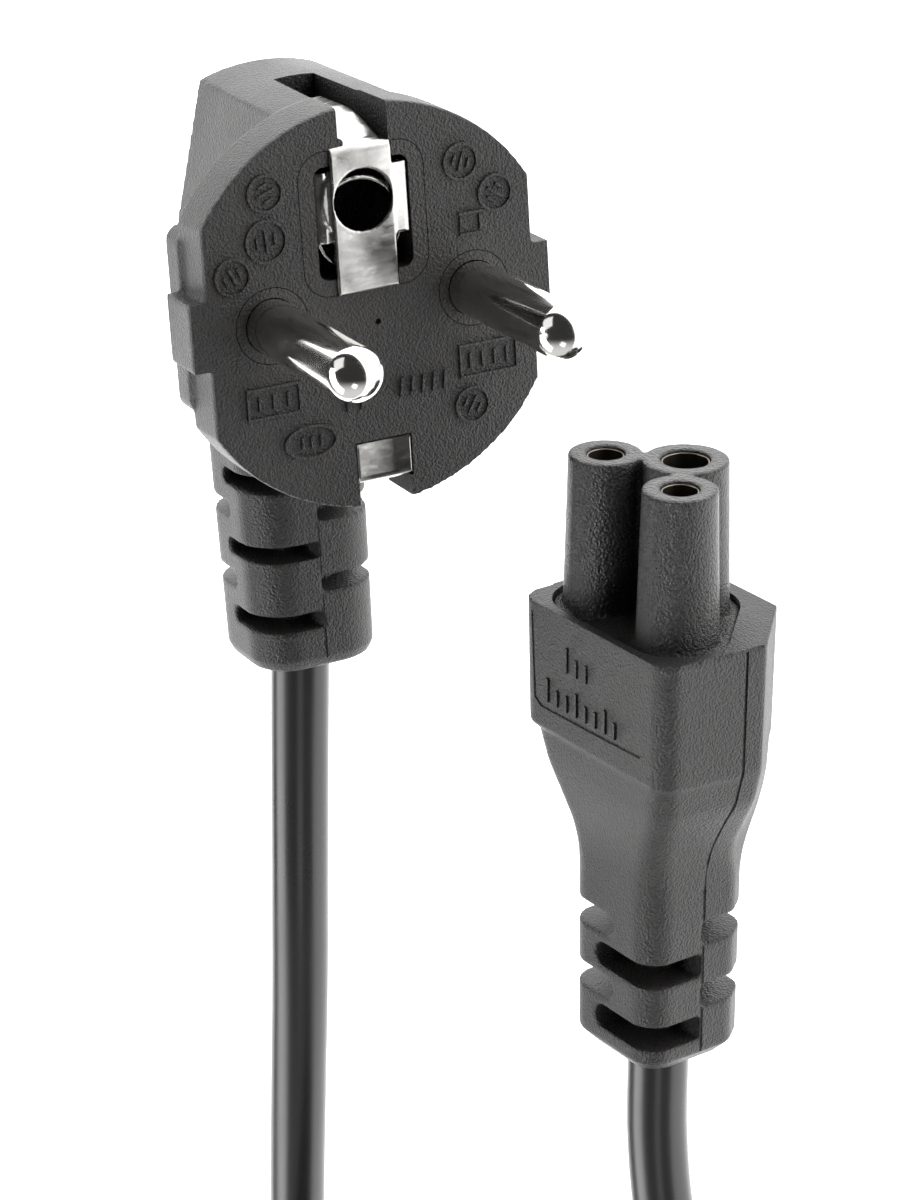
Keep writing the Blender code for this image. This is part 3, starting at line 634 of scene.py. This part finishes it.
def makePlug(spec):
    plug = prismPiece("plugMoulding", plugFaceOutline(spec), -spec["flange"], 0.0)
    hoodStart = spec["flange"] - spec["overlap"]

    wingReach, wingHalf, wingBack, wingCorner = spec["wing"]
    outline = roundedOutline(
        [(-wingReach, -wingHalf), (wingReach, -wingHalf), (wingReach, wingHalf), (-wingReach, wingHalf)],
        [wingCorner] * 4, 6,
    )
    wings = prismPiece("wings", outline, -wingBack, -hoodStart)

    # hood with a domed top and drafted sides
    form = bmesh.new()
    radius = spec["faceRadius"] - 0.15
    topHalf = spec["hoodSides"][0][0]
    domeAngle = math.acos(topHalf / radius)
    dome = [
        (radius * math.cos(domeAngle + (math.pi - 2 * domeAngle) * step / 24),
         radius * math.sin(domeAngle + (math.pi - 2 * domeAngle) * step / 24))
        for step in range(25)
    ]
    sides = spec["hoodSides"][1:]
    outline = dome + [(-x, y) for x, y in sides] + [(x, y) for x, y in reversed(sides)]
    topDepth, lowDepth, lowV = spec["hoodDepths"]
    lifted = prism(form, outline, -hoodStart, -lowDepth - 3.0)
    for vertex in lifted:
        vertex.co.x *= spec["hoodBackScale"]
    hood = finishForm("hood", form)
    back = boxPiece("hoodBack", (-60, -60, -60), (60, 60, 0))
    back.location = (0.0, spec["faceRadius"], -topDepth)
    back.rotation_euler = (math.atan2(lowDepth - topDepth, spec["faceRadius"] - lowV), 0.0, 0.0)
    combine(hood, back, "DIFFERENCE")
    settle(hood, [back])

    # strain relief
    half, endHalf = spec["reliefHalves"]
    top, end = spec["reliefSpan"]
    chamfer = spec["reliefChamfer"]
    rings = []
    for size, corner, height in (
        (half, spec["reliefCorner"], top), (endHalf, spec["reliefCorner"], end + chamfer),
        (endHalf - chamfer * 0.3, spec["reliefCorner"] - 0.3, end + chamfer * 0.35),
        (endHalf - chamfer, spec["reliefCorner"] - chamfer, end),
    ):
        rings.append([
            (point.x, height, point.y - spec["reliefDepth"]) for point in roundedSquare(size, corner, 10)
        ])
    relief = loftPiece("relief", rings)
    slots = spec["slots"]
    slotTool = makeSlots("slotTool", slots, half + 1.5, -1, lambda x, y, z: (z, y, x - spec["reliefDepth"]))
    core = half - slots["depth"]
    outline = roundedSquare(core, core * 0.9, 8)
    coreTool = loftPiece("coreTool", [
        [(point.x, height, point.y - spec["reliefDepth"]) for point in outline]
        for height in (top - 0.5, end + 1.5)
    ])
    combine(slotTool, coreTool, "DIFFERENCE")
    settle(slotTool, [coreTool])
    combine(relief, slotTool, "DIFFERENCE")
    settle(relief, [slotTool])

    clipHalf, clipTop, clipGap = spec["clip"]
    clipTool = boxPiece(
        "clipTool", (-clipHalf - clipGap, spec["notch"][1] - 0.75, -0.9),
        (clipHalf + clipGap, clipTop + clipGap, 0.4),
    )
    for tool in (wings, hood, relief):
        combine(plug, tool, "UNION")
    settle(plug, [wings, hood, relief])
    soften(plug, *spec["softness"])

    # openings in the face, cut last so that their seams stay thin
    seam, shift = spec["seam"], spec["contactShift"]
    frameHalf, frameLow, frameHigh, frameCorner, frameDepth = spec["frame"]
    gap = spec["hiddenGap"]
    outline = uprightRound(frameHalf + seam, frameLow - seam, frameHigh + seam, frameCorner + seam)
    frameTool = prismPiece("frameTool", shifted(outline, shift), -frameDepth - gap, 1.0)
    outline = uprightRound(*spec["well"][:4])
    wellTool = prismPiece("wellTool", shifted(outline, shift), -spec["well"][4], -frameDepth)
    bridgeHalf, bridgeTall, bridgeBack, bridgeFront = spec["bridge"]
    bridgeTool = boxPiece(
        "bridgeTool", (-bridgeHalf - gap, -bridgeTall - gap, -bridgeBack - gap),
        (bridgeHalf + gap, bridgeTall + gap, -bridgeFront + gap),
    )
    collarU, collarRadius = spec["collar"]
    collarTool = postPiece(
        "collarTool", [(-collarU, 0.0), (collarU, 0.0)], -bridgeFront - 0.4, 1.0,
        collarRadius + seam, collarRadius + seam,
    )

    # slot for the upper earth strip, with a small nub by the face
    notchHalf = spec["notch"][0]
    slotCut = loftPiece("earthSlotTool", [
        [(-halfWidth, spec["slotFloor"], depth), (halfWidth, spec["slotFloor"], depth),
         (halfWidth, 20.0, depth), (-halfWidth, 20.0, depth)]
        for halfWidth, depth in ((1.9, -14.0), (notchHalf, 1.0))
    ])
    nubV, nubRadius = spec["nub"]
    nub = postPiece("slotNub", [(-notchHalf + 0.06, nubV)], -1.6, -0.03, nubRadius, nubRadius, 32)
    cuts = [frameTool, wellTool, bridgeTool, collarTool, slotCut, clipTool]
    for tool in cuts:
        combine(plug, tool, "DIFFERENCE")
    combine(plug, nub, "UNION")
    settle(plug, [*cuts, nub])
    return plug


plug = makePlug(plugSizes)
print("plug moulded", len(plug.data.polygons))


# raised marks on the face: plain rings, dials, bars
plugMarks = {
    "root": 0.15,
    "height": 0.16,
    "line": 0.24,
    "rings": [
        (-9.3, 11.5, 1.55, 20), (-12.8, 4.85, 1.55, 115), (8.9, 11.3, 1.55, 70), (12.0, 8.1, 1.55, -35),
        (8.7, -10.4, 1.55, 60), (-9.5, 7.4, 1.8, 95),
    ],
    "ovals": [(-6.7, -10.8, 1.4, 1.7)],
    "frames": [(10.5, -6.4, 5.4, 2.8, 4), (-9.9, -6.6, 4.8, 2.6, 3)],
    "barRows": [(4.1, -7.6, 5.2, 5), (-2.4, -8.0, 2.6, 2)],
    "diamond": (9.5, 5.8, 2.2),
    "pip": (0.25, -1.35, 0.3),
    "reliefSeam": [(-15.0, 0.0), (-30.0, 0.13), (-38.2, 0.28)],
    "seamLine": 0.09,
}


def markPlug(plug, spec):
    low, high, line = -spec["root"], spec["height"], spec["line"]
    form = bmesh.new()
    for x, y, radius, angle in spec["rings"]:
        ringWall(form, (x, y), radius, line, low, high)
        spin = math.radians(angle)
        bar(form, (x, y), radius * 1.1, line, spin, low, high)
        for side in (-1, 1):
            ex = x - side * math.sin(spin) * radius * 0.45
            ey = y + side * math.cos(spin) * radius * 0.45
            bar(form, (ex, ey), radius * 0.55, line, spin, low, high)
    for x, y, radius, stretch in spec["ovals"]:
        ringWall(form, (x, y), radius, line, low, high, 48, stretch)
        for step in (-1, 0, 1):
            bar(form, (x + step * 0.85, y), line, 1.0, 0.0, low, high)
    for x, y, width, tall, count in spec["frames"]:
        frameLines(form, (x, y), (width, tall), line, low, high)
        for step in range(count):
            offset = (step - (count - 1) / 2) * width / (count + 0.6)
            bar(form, (x + offset, y), line, tall * 0.5, 0.0, low, high)
    for x, y, length, count in spec["barRows"]:
        for step in range(count):
            offset = (step - (count - 1) / 2) * length / count
            bar(form, (x + offset, y), line, 1.7, -0.12, low, high)
    x, y, size = spec["diamond"]
    for side in (-1, 1):
        bar(form, (x, y + side * size * 0.42), size, line, 0.0, low, high)
        bar(form, (x + side * size * 0.42, y), line, size * 0.6, 0.0, low, high)
    marks = finishForm("faceMarks", form)
    combine(plug, marks, "UNION")
    x, y, radius = spec["pip"]
    pip = postPiece("pipTool", [(x, y)], -0.35, 0.3, radius * 0.8, radius, 24)
    combine(plug, pip, "DIFFERENCE")
    relief = plugSizes["reliefDepth"]
    front = plugSizes["reliefHalves"][0] - relief
    seamPoints = [(0.0, v, front - drop) for v, drop in spec["reliefSeam"]]
    seam = thread("reliefSeam", seamPoints, spec["seamLine"])
    combine(plug, seam, "DIFFERENCE")
    settle(plug, [marks, pip, seam])


markPlug(plug, plugMarks)
seatPiece(plug, plugSeat, bodyPlastic, "black_plastic", 40, "plug_body")
print("plug marked", len(plug.data.polygons))


# pins, turned
pinSizes = {"radius": 2.4, "length": 19.0, "root": 5.2, "spacing": 19.0}


def makePin(name, side, spec, node):
    radius, length = spec["radius"], spec["length"]
    profile = [(0.0, length)]
    for step in range(1, 25):
        angle = math.pi / 2 * (1 - step / 24)
        profile.append((radius * math.cos(angle), length - radius + radius * math.sin(angle)))
    profile += [(radius, length * 0.45), (radius, -spec["root"])]
    profile.append((0.0, -spec["root"]))
    pin = turned(name, profile, 96)
    pin.data.transform(Matrix.Translation((side * spec["spacing"] / 2, 0.0, 0.0)))
    seatPiece(pin, plugSeat, pinMetal, "pin_metal", 40, node)


makePin("livePin", -1, pinSizes, "live_pin")
makePin("neutralPin", 1, pinSizes, "neutral_pin")


# bridge that carries the pins, with the frame round the earth contact
bridgeSizes = {
    "window": (4.4, 3.0, 12.85, 0.9),
    "pinHole": (2.46, 5.5),
    "opening": (2.6, 12.4),
    "channel": (2.93, 0.45),
}


def makeBridge(plugSpec, spec):
    shift = plugSpec["contactShift"]
    half, low, high, corner, depth = plugSpec["frame"]
    bridge = prismPiece("pinBridge", shifted(uprightRound(half, low, high, corner), shift), -depth, 0.0)
    barHalf, barTall, barBack, barFront = plugSpec["bridge"]
    barTool = boxPiece("bridgeBar", (-barHalf, -barTall, -barBack), (barHalf, barTall, -barFront))
    collarU, collarRadius = plugSpec["collar"]
    centers = [(-collarU, 0.0), (collarU, 0.0)]
    collars = postPiece("collars", centers, -barFront - 0.4, 0.0, collarRadius, collarRadius)
    window = prismPiece("window", shifted(uprightRound(*spec["window"]), shift), -barBack - 0.4, 1.0)
    openHalf, openLow = spec["opening"]
    channelHalf, channelDepth = spec["channel"]
    opening = boxPiece(
        "opening", (shift - openHalf, openLow, -depth - 1), (shift + openHalf, high + 1, 1.0),
    )
    channel = boxPiece(
        "channel", (shift - channelHalf, 0.0, -channelDepth), (shift + channelHalf, high + 1, 1.0),
    )
    holeRadius, holeDepth = spec["pinHole"]
    pinHoles = postPiece("pinHoles", centers, -holeDepth, 1.0, holeRadius, holeRadius)
    for tool in (barTool, collars):
        combine(bridge, tool, "UNION")
    for tool in (window, opening, channel, pinHoles):
        combine(bridge, tool, "DIFFERENCE")
    settle(bridge, [barTool, collars, window, opening, channel, pinHoles])
    return bridge


bridge = makeBridge(plugSizes, bridgeSizes)
seatPiece(bridge, plugSeat, insertPlastic, "insert_plastic", 40, "pin_bridge")


# earth contacts, bent from sheet
earthSizes = {
    "thickness": 0.5,
    "shift": -0.47,
    "plateLow": 1.6,
    "plateN": 0.02,
    "bend": (0.75, 10),
    "plateHalf": 2.85,
    "stripHalves": (2.1, 1.7),
    "stripV": 14.4,
    "stripRise": [(15.1, -2.4), (15.75, -4.6), (15.95, -6.5), (15.95, -11.0)],
    "wingSpan": (6.1, 12.3),
    "leftWing": [
        (-1.8, -0.5), (-2.5, -0.95), (-2.66, -0.78), (-2.86, -0.6), (-3.1, -0.47), (-3.37, -0.42),
        (-3.64, -0.47), (-3.88, -0.6), (-4.06, -0.82), (-4.16, -1.1), (-4.18, -1.4), (-4.18, -2.6),
    ],
    "rightWing": [(1.8, -0.02), (3.9, -0.1), (4.03, -0.15), (4.1, -0.3), (4.1, -2.6)],
    "hole": (9.55, 2.7),
    "barrel": (3.7, 0.35, -4.4),
    "lowRing": (7.25, 3.95, 0.42, -2.6, -0.95),
    "clipTop": -11.9,
    "clipHalves": (2.6, 1.9),
    "clipLow": -15.45,
    "clipDepth": -4.6,
    "softness": (0.115, 1, 0.6),
}


def sheetPiece(name, line, thickness, toPoint):
    # a strip of sheet: line holds (across, depth, from, to); toPoint puts each corner in place
    rings = []
    count = len(line)
    for index, (x, n, low, high) in enumerate(line):
        before, after = line[max(index - 1, 0)], line[min(index + 1, count - 1)]
        along = Vector((after[0] - before[0], after[1] - before[1])).normalized()
        off = Vector((-along.y, along.x)) * thickness / 2
        rings.append([
            toPoint(x + off.x, n + off.y, low), toPoint(x + off.x, n + off.y, high),
            toPoint(x - off.x, n - off.y, high), toPoint(x - off.x, n - off.y, low),
        ])
    return loftPiece(name, rings)


def bendPoints(corner, radius, steps, xSign):
    # quarter turn from along x to down in n, about a corner of the midline
    x, n = corner
    return [
        (x - xSign * radius * (1 - math.sin(math.pi / 2 * step / steps)),
         n - radius * (1 - math.cos(math.pi / 2 * step / steps)))
        for step in range(steps + 1)
    ]


def alongV(across, depth, width):
    return (width, across, depth)


def makeEarthContact(spec):
    thick, plateN = spec["thickness"], spec["plateN"]
    radius, steps = spec["bend"]
    stripV = spec["stripV"]
    plateHalf = spec["plateHalf"]
    frontHalf, backHalf = spec["stripHalves"]
    line = [(spec["plateLow"], plateN, -plateHalf, plateHalf)]
    bend = bendPoints((stripV, plateN), radius, steps, 1)
    for index, (v, n) in enumerate(bend):
        half = plateHalf if index < 6 else frontHalf
        line.append((v, n, -half, half))
    for v, n in spec["stripRise"]:
        half = frontHalf + (backHalf - frontHalf) * n / spec["stripRise"][-1][1]
        line.append((v, n, -half, half))
    contact = sheetPiece("earthContact", line, thick, alongV)
    tools = []
    wingLow, wingHigh = spec["wingSpan"]
    for name in ("leftWing", "rightWing"):
        line = [(x, n, wingLow, wingHigh) for x, n in spec[name]]
        tools.append(sheetPiece(name, line, thick, lambda across, depth, width: (across, width, depth)))
    holeV, holeRadius = spec["hole"]
    barrelRadius, wall, barrelEnd = spec["barrel"]
    middle = [(0.0, holeV)]
    tools.append(postPiece("barrel", middle, barrelEnd, plateN - 0.1, barrelRadius, barrelRadius))
    for tool in tools:
        combine(contact, tool, "UNION")
    boreRadius = barrelRadius - wall
    bore = postPiece("bore", middle, barrelEnd - 1, plateN - 0.3, boreRadius, boreRadius)
    hole = postPiece("hole", middle, -2.0, 2.0, holeRadius, holeRadius)
    combine(contact, bore, "DIFFERENCE")
    combine(contact, hole, "DIFFERENCE")
    ringV, ringRadius, ringWidth, ringBack, ringFront = spec["lowRing"]
    form = bmesh.new()
    ringWall(form, (0.0, ringV), ringRadius, ringWidth, ringBack, ringFront)
    ring = finishForm("lowRing", form)
    combine(contact, ring, "UNION")
    settle(contact, [*tools, bore, hole, ring])
    soften(contact, *spec["softness"])
    contact.data.transform(Matrix.Translation((spec["shift"], 0.0, 0.0)))
    return contact


def makeLowerClip(spec):
    thick = spec["thickness"]
    wide, narrow = spec["clipHalves"]
    line = [(spec["clipTop"], -thick / 2, -wide, wide)]
    for index, (v, n) in enumerate(bendPoints((spec["clipLow"], -thick / 2), 0.45, 8, -1)):
        half = wide if index < 5 else narrow
        line.append((v, n, -half, half))
    line.append((spec["clipLow"], spec["clipDepth"], -narrow, narrow))
    clip = sheetPiece("lowerEarthClip", line, thick, alongV)
    soften(clip, *spec["softness"])
    return clip


earthContact = makeEarthContact(earthSizes)
seatPiece(earthContact, plugSeat, sheetMetal, "contact_metal", 40, "earth_contact")
lowerClip = makeLowerClip(earthSizes)
seatPiece(lowerClip, plugSeat, sheetMetal, "contact_metal", 40, "lower_earth_clip")
print("pins and contacts made")


# connector moulding, millimetres: b across the towers, e toward the earth tower, a out of the mouth
connectorSizes = {
    "sections": [
        (0.0, (10.1, -5.3), (10.8, 5.05), (4.8, 11.1), (2.0, 0.5, 0.5)),
        (-11.5, (9.95, -5.2), (10.6, 5.0), (4.7, 10.95), (2.1, 0.6, 0.6)),
        (-12.1, (9.3, -4.6), (10.5, 5.0), (4.65, 10.8), (2.1, 0.8, 0.8)),
        (-14.8, (8.6, -4.3), (9.8, 5.0), (4.6, 10.7), (2.2, 1.0, 1.0)),
        (-18.4, (7.1, -3.7), (7.8, 5.2), (4.4, 10.1), (2.4, 1.4, 1.4)),
        (-21.4, (6.2, -3.2), (6.4, 5.4), (4.1, 9.3), (2.5, 1.8, 1.8)),
        (-24.5, (5.95, -3.05), (5.95, 6.2), (3.9, 8.65), (2.6, 2.0, 2.0)),
        (-40.4, (5.85, -3.0), (5.85, 6.1), (3.9, 8.55), (2.6, 2.0, 2.0)),
        (-41.8, (4.5, -1.7), (4.5, 5.3), (3.5, 7.3), (2.2, 1.6, 1.6)),
    ],
    "neck": 5.85,
    "cordOffset": 2.8,
    "slots": {"first": -28.7, "pitch": 3.1, "height": 2.25, "depth": 3.1, "count": 4, "past": (0.6, 1.8)},
    "belt": (0.85, 6.0, 0.4, 0.05),
    "softness": (0.22, 2, 0.55),
}
towerSizes = {
    "spacing": 10.2,
    "height": 13.4,
    "towers": [
        ("live", -1, 3.57, 3.2, 1.6), ("neutral", 1, 3.57, 3.2, 1.6), ("earth", 0, 4.03, 3.72, 2.07),
    ],
    "earthOffset": 4.6,
    "softness": (0.19, 3, 0.6),
    "sleeveFoot": -3.6,
    "sleeveTop": 13.15,
    "sleeveWall": 0.13,
    "sleeveFit": 0.05,
}


def towerCenter(side):
    return (side * towerSizes["spacing"] / 2, 0.0 if side else towerSizes["earthOffset"])


def bodyRing(section, steps):
    height, front, widest, back, rounding = section
    corners = [front, widest, back] + [(-x, y) for x, y in (back, widest, front)]
    outline = roundedOutline(corners, [*rounding, *rounding[::-1]], steps)
    return [(point.x, point.y, height) for point in outline]


def blendSections(first, second, share):
    def mix(one, two):
        if isinstance(one, tuple):
            return tuple(mix(a, b) for a, b in zip(one, two))
        return one + (two - one) * share

    return mix(first, second)


def smoothSections(sections, first, last, steps):
    # soften the corners of the long taper between two sections
    made = list(sections[:first + 1])
    for index in range(first, last):
        for step in range(1, steps + 1):
            share = step / steps
            plain = blendSections(sections[index], sections[index + 1], share)
            before = blendSections(sections[index - 1], sections[index], 1 + share)
            beyond = sections[min(index + 2, len(sections) - 1)]
            after = blendSections(sections[index + 1], beyond, share - 1)
            bent = blendSections(before, after, smoothStep(share))
            made.append((plain[0],) + blendSections(plain[1:], bent[1:], 0.35))
    return made + list(sections[last + 1:])


def towerBelt(margin):
    samples = []
    for _, side, base, _, _ in towerSizes["towers"]:
        x, y = towerCenter(side)
        for step in range(72):
            angle = 2 * math.pi * step / 72
            reach = base + margin
            samples.append((x + reach * math.cos(angle), y + reach * math.sin(angle)))

    def halfHull(points):
        chain = []
        for x, y in points:
            while len(chain) > 1:
                (ax, ay), (bx, by) = chain[-2:]
                if (bx - ax) * (y - ay) - (by - ay) * (x - ax) > 1e-9:
                    break
                chain.pop()
            chain.append((x, y))
        return chain[:-1]

    samples.sort()
    return halfHull(samples) + halfHull(samples[::-1])


def makeConnector(spec):
    rings = smoothSections(spec["sections"], 3, 6, 5)
    body = loftPiece("connectorMoulding", [bodyRing(section, 10) for section in rings])
    slots = spec["slots"]
    offset = spec["cordOffset"]
    slotTool = makeSlots("connectorSlots", slots, spec["neck"] + 1.2, 1, lambda x, y, z: (x, z + offset, y))
    core = spec["neck"] - slots["depth"]
    last = slots["first"] - (slots["count"] - 1) * slots["pitch"]
    outline = shifted(roundedSquare(core, core * 0.8, 8), 0.0, offset)
    coreTool = prismPiece("connectorCore", outline, last - 3, slots["first"] + 3)
    combine(slotTool, coreTool, "DIFFERENCE")
    settle(slotTool, [coreTool])
    margin, depth, _, seam = spec["belt"]
    pocket = prismPiece("blockPocket", towerBelt(margin + seam), -depth - 0.3, 1.0)
    combine(body, slotTool, "DIFFERENCE")
    settle(body, [slotTool])
    soften(body, *spec["softness"])
    combine(body, pocket, "DIFFERENCE")
    settle(body, [pocket])
    return body


# lines and plain marks in the connector's skin
connectorMarks = {
    "panel": [(-0.9, -8.3), (-1.95, -8.25), (-8.86, -7.9), (-9.41, -7.08), (-9.3, 0.0), (-9.08, 6.92)],
    "panelE": (-5.3, -5.21),
    "line": 0.17,
    "sideSeam": [
        (10.62, 3.1, -0.2), (10.48, 3.1, -11.4), (10.25, 3.1, -12.2), (9.55, 3.1, -14.8),
        (8.62, 2.9, -16.6), (7.62, 2.9, -18.4), (6.9, 2.9, -19.9), (6.34, 2.9, -21.4),
        (5.97, 2.9, -24.5), (5.87, 2.9, -40.4),
    ],
    "seamLine": 0.15,
    "tickE": (-5.1, -5.44),
    "tickWidth": 0.3,
    "tickRows": [(-5.0, -2.7, -3.3, 3), (-8.7, -6.5, -6.0, 8)],
    "tickPitch": 1.35,
}


def markConnector(body, spec):
    def skin(a):
        return spec["panelE"][0] + (spec["panelE"][1] - spec["panelE"][0]) * -a / 11.5

    tools = []
    panel = [(b, skin(a), a) for a, b in spec["panel"]]
    tools.append(thread("panelLine", panel, spec["line"]))
    tools.append(thread("sideSeam", spec["sideSeam"], spec["seamLine"]))
    for tool in tools:
        combine(body, tool, "DIFFERENCE")
    form = bmesh.new()
    line = spec["tickWidth"]
    lowE, highE = spec["tickE"]
    for low, high, first, count in spec["tickRows"]:
        for step in range(count):
            b = first + step * spec["tickPitch"]
            end = high if step % 3 == 0 else high - 0.7
            box(form, (b - line / 2, highE, low), (b + line / 2, lowE, end))
    marks = finishForm("sideTicks", form)
    combine(body, marks, "UNION")
    tools.append(marks)
    settle(body, tools)


connector = makeConnector(connectorSizes)
markConnector(connector, connectorMarks)
seatPiece(connector, connectorSeat, bodyPlastic, "black_plastic", 40, "connector_body")
print("connector moulded", len(connector.data.polygons))


def makeTowers(spec, belt):
    margin, depth, sink, _ = belt
    block = prismPiece("towerBlock", towerBelt(margin), -depth, -sink)
    tools = []
    height, fit = spec["height"], spec["sleeveFit"]
    for name, side, base, top, hole in spec["towers"]:
        tools.append(postPiece(name + "Tower", [towerCenter(side)], -sink - 0.4, height, base, top))
        combine(block, tools[-1], "UNION")
    for name, side, base, top, hole in spec["towers"]:
        mouth = hole + fit
        tools.append(postPiece(name + "Mouth", [towerCenter(side)], -3.9, height + 1, mouth, mouth))
        combine(block, tools[-1], "DIFFERENCE")
    settle(block, tools)
    soften(block, *spec["softness"])
    return block


def makeSleeve(name, side, outer, spec, node):
    foot, top = spec["sleeveFoot"], spec["sleeveTop"]
    bore = outer - spec["sleeveWall"]
    middle = (outer + bore) / 2
    half = (outer - bore) / 2
    profile = [(0.0, foot + 0.6), (bore, foot + 0.6), (bore, top - half)]
    for step in range(1, 8):
        angle = math.pi * (1 - step / 8)
        profile.append((middle + half * math.cos(angle), top - half + half * math.sin(angle)))
    profile += [(outer, top - half), (outer, foot), (0.0, foot)]
    sleeve = turned(name, profile, 64)
    # faces down inside the bore, which take the painted shade finish
    inside = [
        index for index, face in enumerate(sleeve.data.polygons)
        if face.center.z < top - half and face.center.to_2d().length < middle
    ]
    x, y = towerCenter(side)
    sleeve.data.transform(Matrix.Translation((x, y, 0.0)))
    seatPiece(sleeve, connectorSeat, socketMetal, "socket_metal", 40, node)
    # second finish: painted shade on the bore's inside faces
    sleeve.data.materials.append(socketBorePaintedShade)
    for index in inside:
        sleeve.data.polygons[index].material_index = 1
    return sleeve


towers = makeTowers(towerSizes, connectorSizes["belt"])
seatPiece(towers, connectorSeat, towerPlastic, "tower_plastic", 40, "tower_block")
sleeves = [
    makeSleeve(name + "Sleeve", side, hole, towerSizes, name + "_socket")
    for name, side, _, _, hole in towerSizes["towers"]
]
print("towers made", len(towers.data.polygons))


# strap round the coil's bundle
tieSizes = {
    "center": cordSizes["coilCenter"],
    "inside": 25.45,
    "outside": 43.45,
    "low": 0.05,
    "high": 23.2,
    "thickness": 0.6,
    "halfWidth": 2.5,
    "corner": 2.2,
}


def makeTie(spec):
    thick = spec["thickness"]
    outline = roundedOutline(
        [(-spec["outside"] - thick, spec["low"]), (-spec["inside"] + thick, spec["low"]),
         (-spec["inside"] + thick, spec["high"] + thick), (-spec["outside"] - thick, spec["high"] + thick)],
        [spec["corner"]] * 4, 8,
    )
    count = len(outline)
    form = bmesh.new()
    loops = []
    half, edge = spec["halfWidth"], thick * 0.3
    for inset, width in (
        (0.0, half - edge), (edge * 0.3, half - edge * 0.3), (edge, half), (thick - edge, half),
        (thick - edge * 0.3, half - edge * 0.3), (thick, half - edge),
        (thick, -half + edge), (thick - edge * 0.3, -half + edge * 0.3), (thick - edge, -half),
        (edge, -half), (edge * 0.3, -half + edge * 0.3), (0.0, -half + edge),
    ):
        loop = []
        for index, point in enumerate(outline):
            along = (outline[(index + 1) % count] - outline[index - 1]).normalized()
            inward = Vector((-along.y, along.x)) * inset
            loop.append(form.verts.new((point.x + inward.x, width, point.y + inward.y)))
        loops.append(loop)
    for here, there in zip(loops, loops[1:] + loops[:1]):
        for index in range(count):
            after = (index + 1) % count
            form.faces.new((here[index], here[after], there[after], there[index]))
    tie = finishForm("coilTie", form)
    seat = Matrix.Translation((*spec["center"], 0.0))
    seatPiece(tie, seat, strapPlastic, "tie_strap", 50, "coil_tie")


makeTie(tieSizes)
print("tie made")


# floor, light and surroundings
studio = {
    "floorSize": 3.0,
    "floorColor": (0.84, 0.84, 0.84),
    "floorGlow": 2.0,
    "wallFade": (0.2, 0.9),
    "wallGlow": (0.035, 0.75),
    "lights": [
        ("sideSoftbox", (-0.35, 0.72, 0.7), (0.0, 0.0, 0.0), (1.5, 0.6), 16.0),
        ("farSoftbox", (0.7, 0.6, 0.7), (0.0, 0.0, 0.0), (0.8, 0.8), 2.0),
        ("nearSoftbox", (-0.38, -0.4, 0.48), (0.0, 0.0, 0.02), (0.22, 0.22), 0.25),
    ],
}


def addFloor(spec):
    half = spec["floorSize"] / 2
    mesh = bpy.data.meshes.new("floor")
    corners = [(-half, -half, 0), (half, -half, 0), (half, half, 0), (-half, half, 0)]
    mesh.from_pydata(corners, [], [(0, 1, 2, 3)])
    floor = linkObject("floor", mesh)
    floor.location.z = -0.0001
    material, shader, nodes, links = newMaterial("paleFloor", spec["floorColor"], 0.0, 0.7)
    noise = addNoise(nodes, links, 9.0, 2.0)
    links.new(spread(nodes, links, noise.outputs["Fac"], 0.66, 0.74), shader.inputs["Roughness"])
    shader.inputs["Emission Color"].default_value = (1.0, 1.0, 1.0, 1.0)
    shader.inputs["Emission Strength"].default_value = spec["floorGlow"]
    floor.data.materials.append(material)


def addLights(spec):
    world = bpy.data.worlds.new("surround")
    world.use_nodes = True
    nodes, links = world.node_tree.nodes, world.node_tree.links
    background = next(node for node in nodes if node.type == "BACKGROUND")
    background.inputs["Color"].default_value = (1.0, 1.0, 1.0, 1.0)
    # dark above and bright toward the cord's end
    coordinates = nodes.new("ShaderNodeTexCoord")
    toward = nodes.new("ShaderNodeVectorMath")
    toward.operation = "DOT_PRODUCT"
    toward.inputs[1].default_value = (-1.0, 0.0, 0.0)
    reach = nodes.new("ShaderNodeMapRange")
    reach.interpolation_type = "SMOOTHSTEP"
    sockets = ("From Min", "From Max", "To Min", "To Max")
    for socket, value in zip(sockets, spec["wallFade"] + spec["wallGlow"]):
        reach.inputs[socket].default_value = value
    links.new(coordinates.outputs["Generated"], toward.inputs[0])
    links.new(toward.outputs["Value"], reach.inputs["Value"])
    links.new(reach.outputs["Result"], background.inputs["Strength"])
    scene.world = world
    for name, place, aim, size, power in spec["lights"]:
        data = bpy.data.lights.new(name, "AREA")
        data.shape = "RECTANGLE"
        data.size, data.size_y = size
        data.energy = power
        light = bpy.data.objects.new(name, data)
        light.location = place
        light.rotation_euler = (Vector(aim) - Vector(place)).to_track_quat("-Z", "Y").to_euler()
        scene.collection.objects.link(light)


addFloor(studio)
addLights(studio)
scene.view_settings.view_transform = "Standard"
print("stage lit")
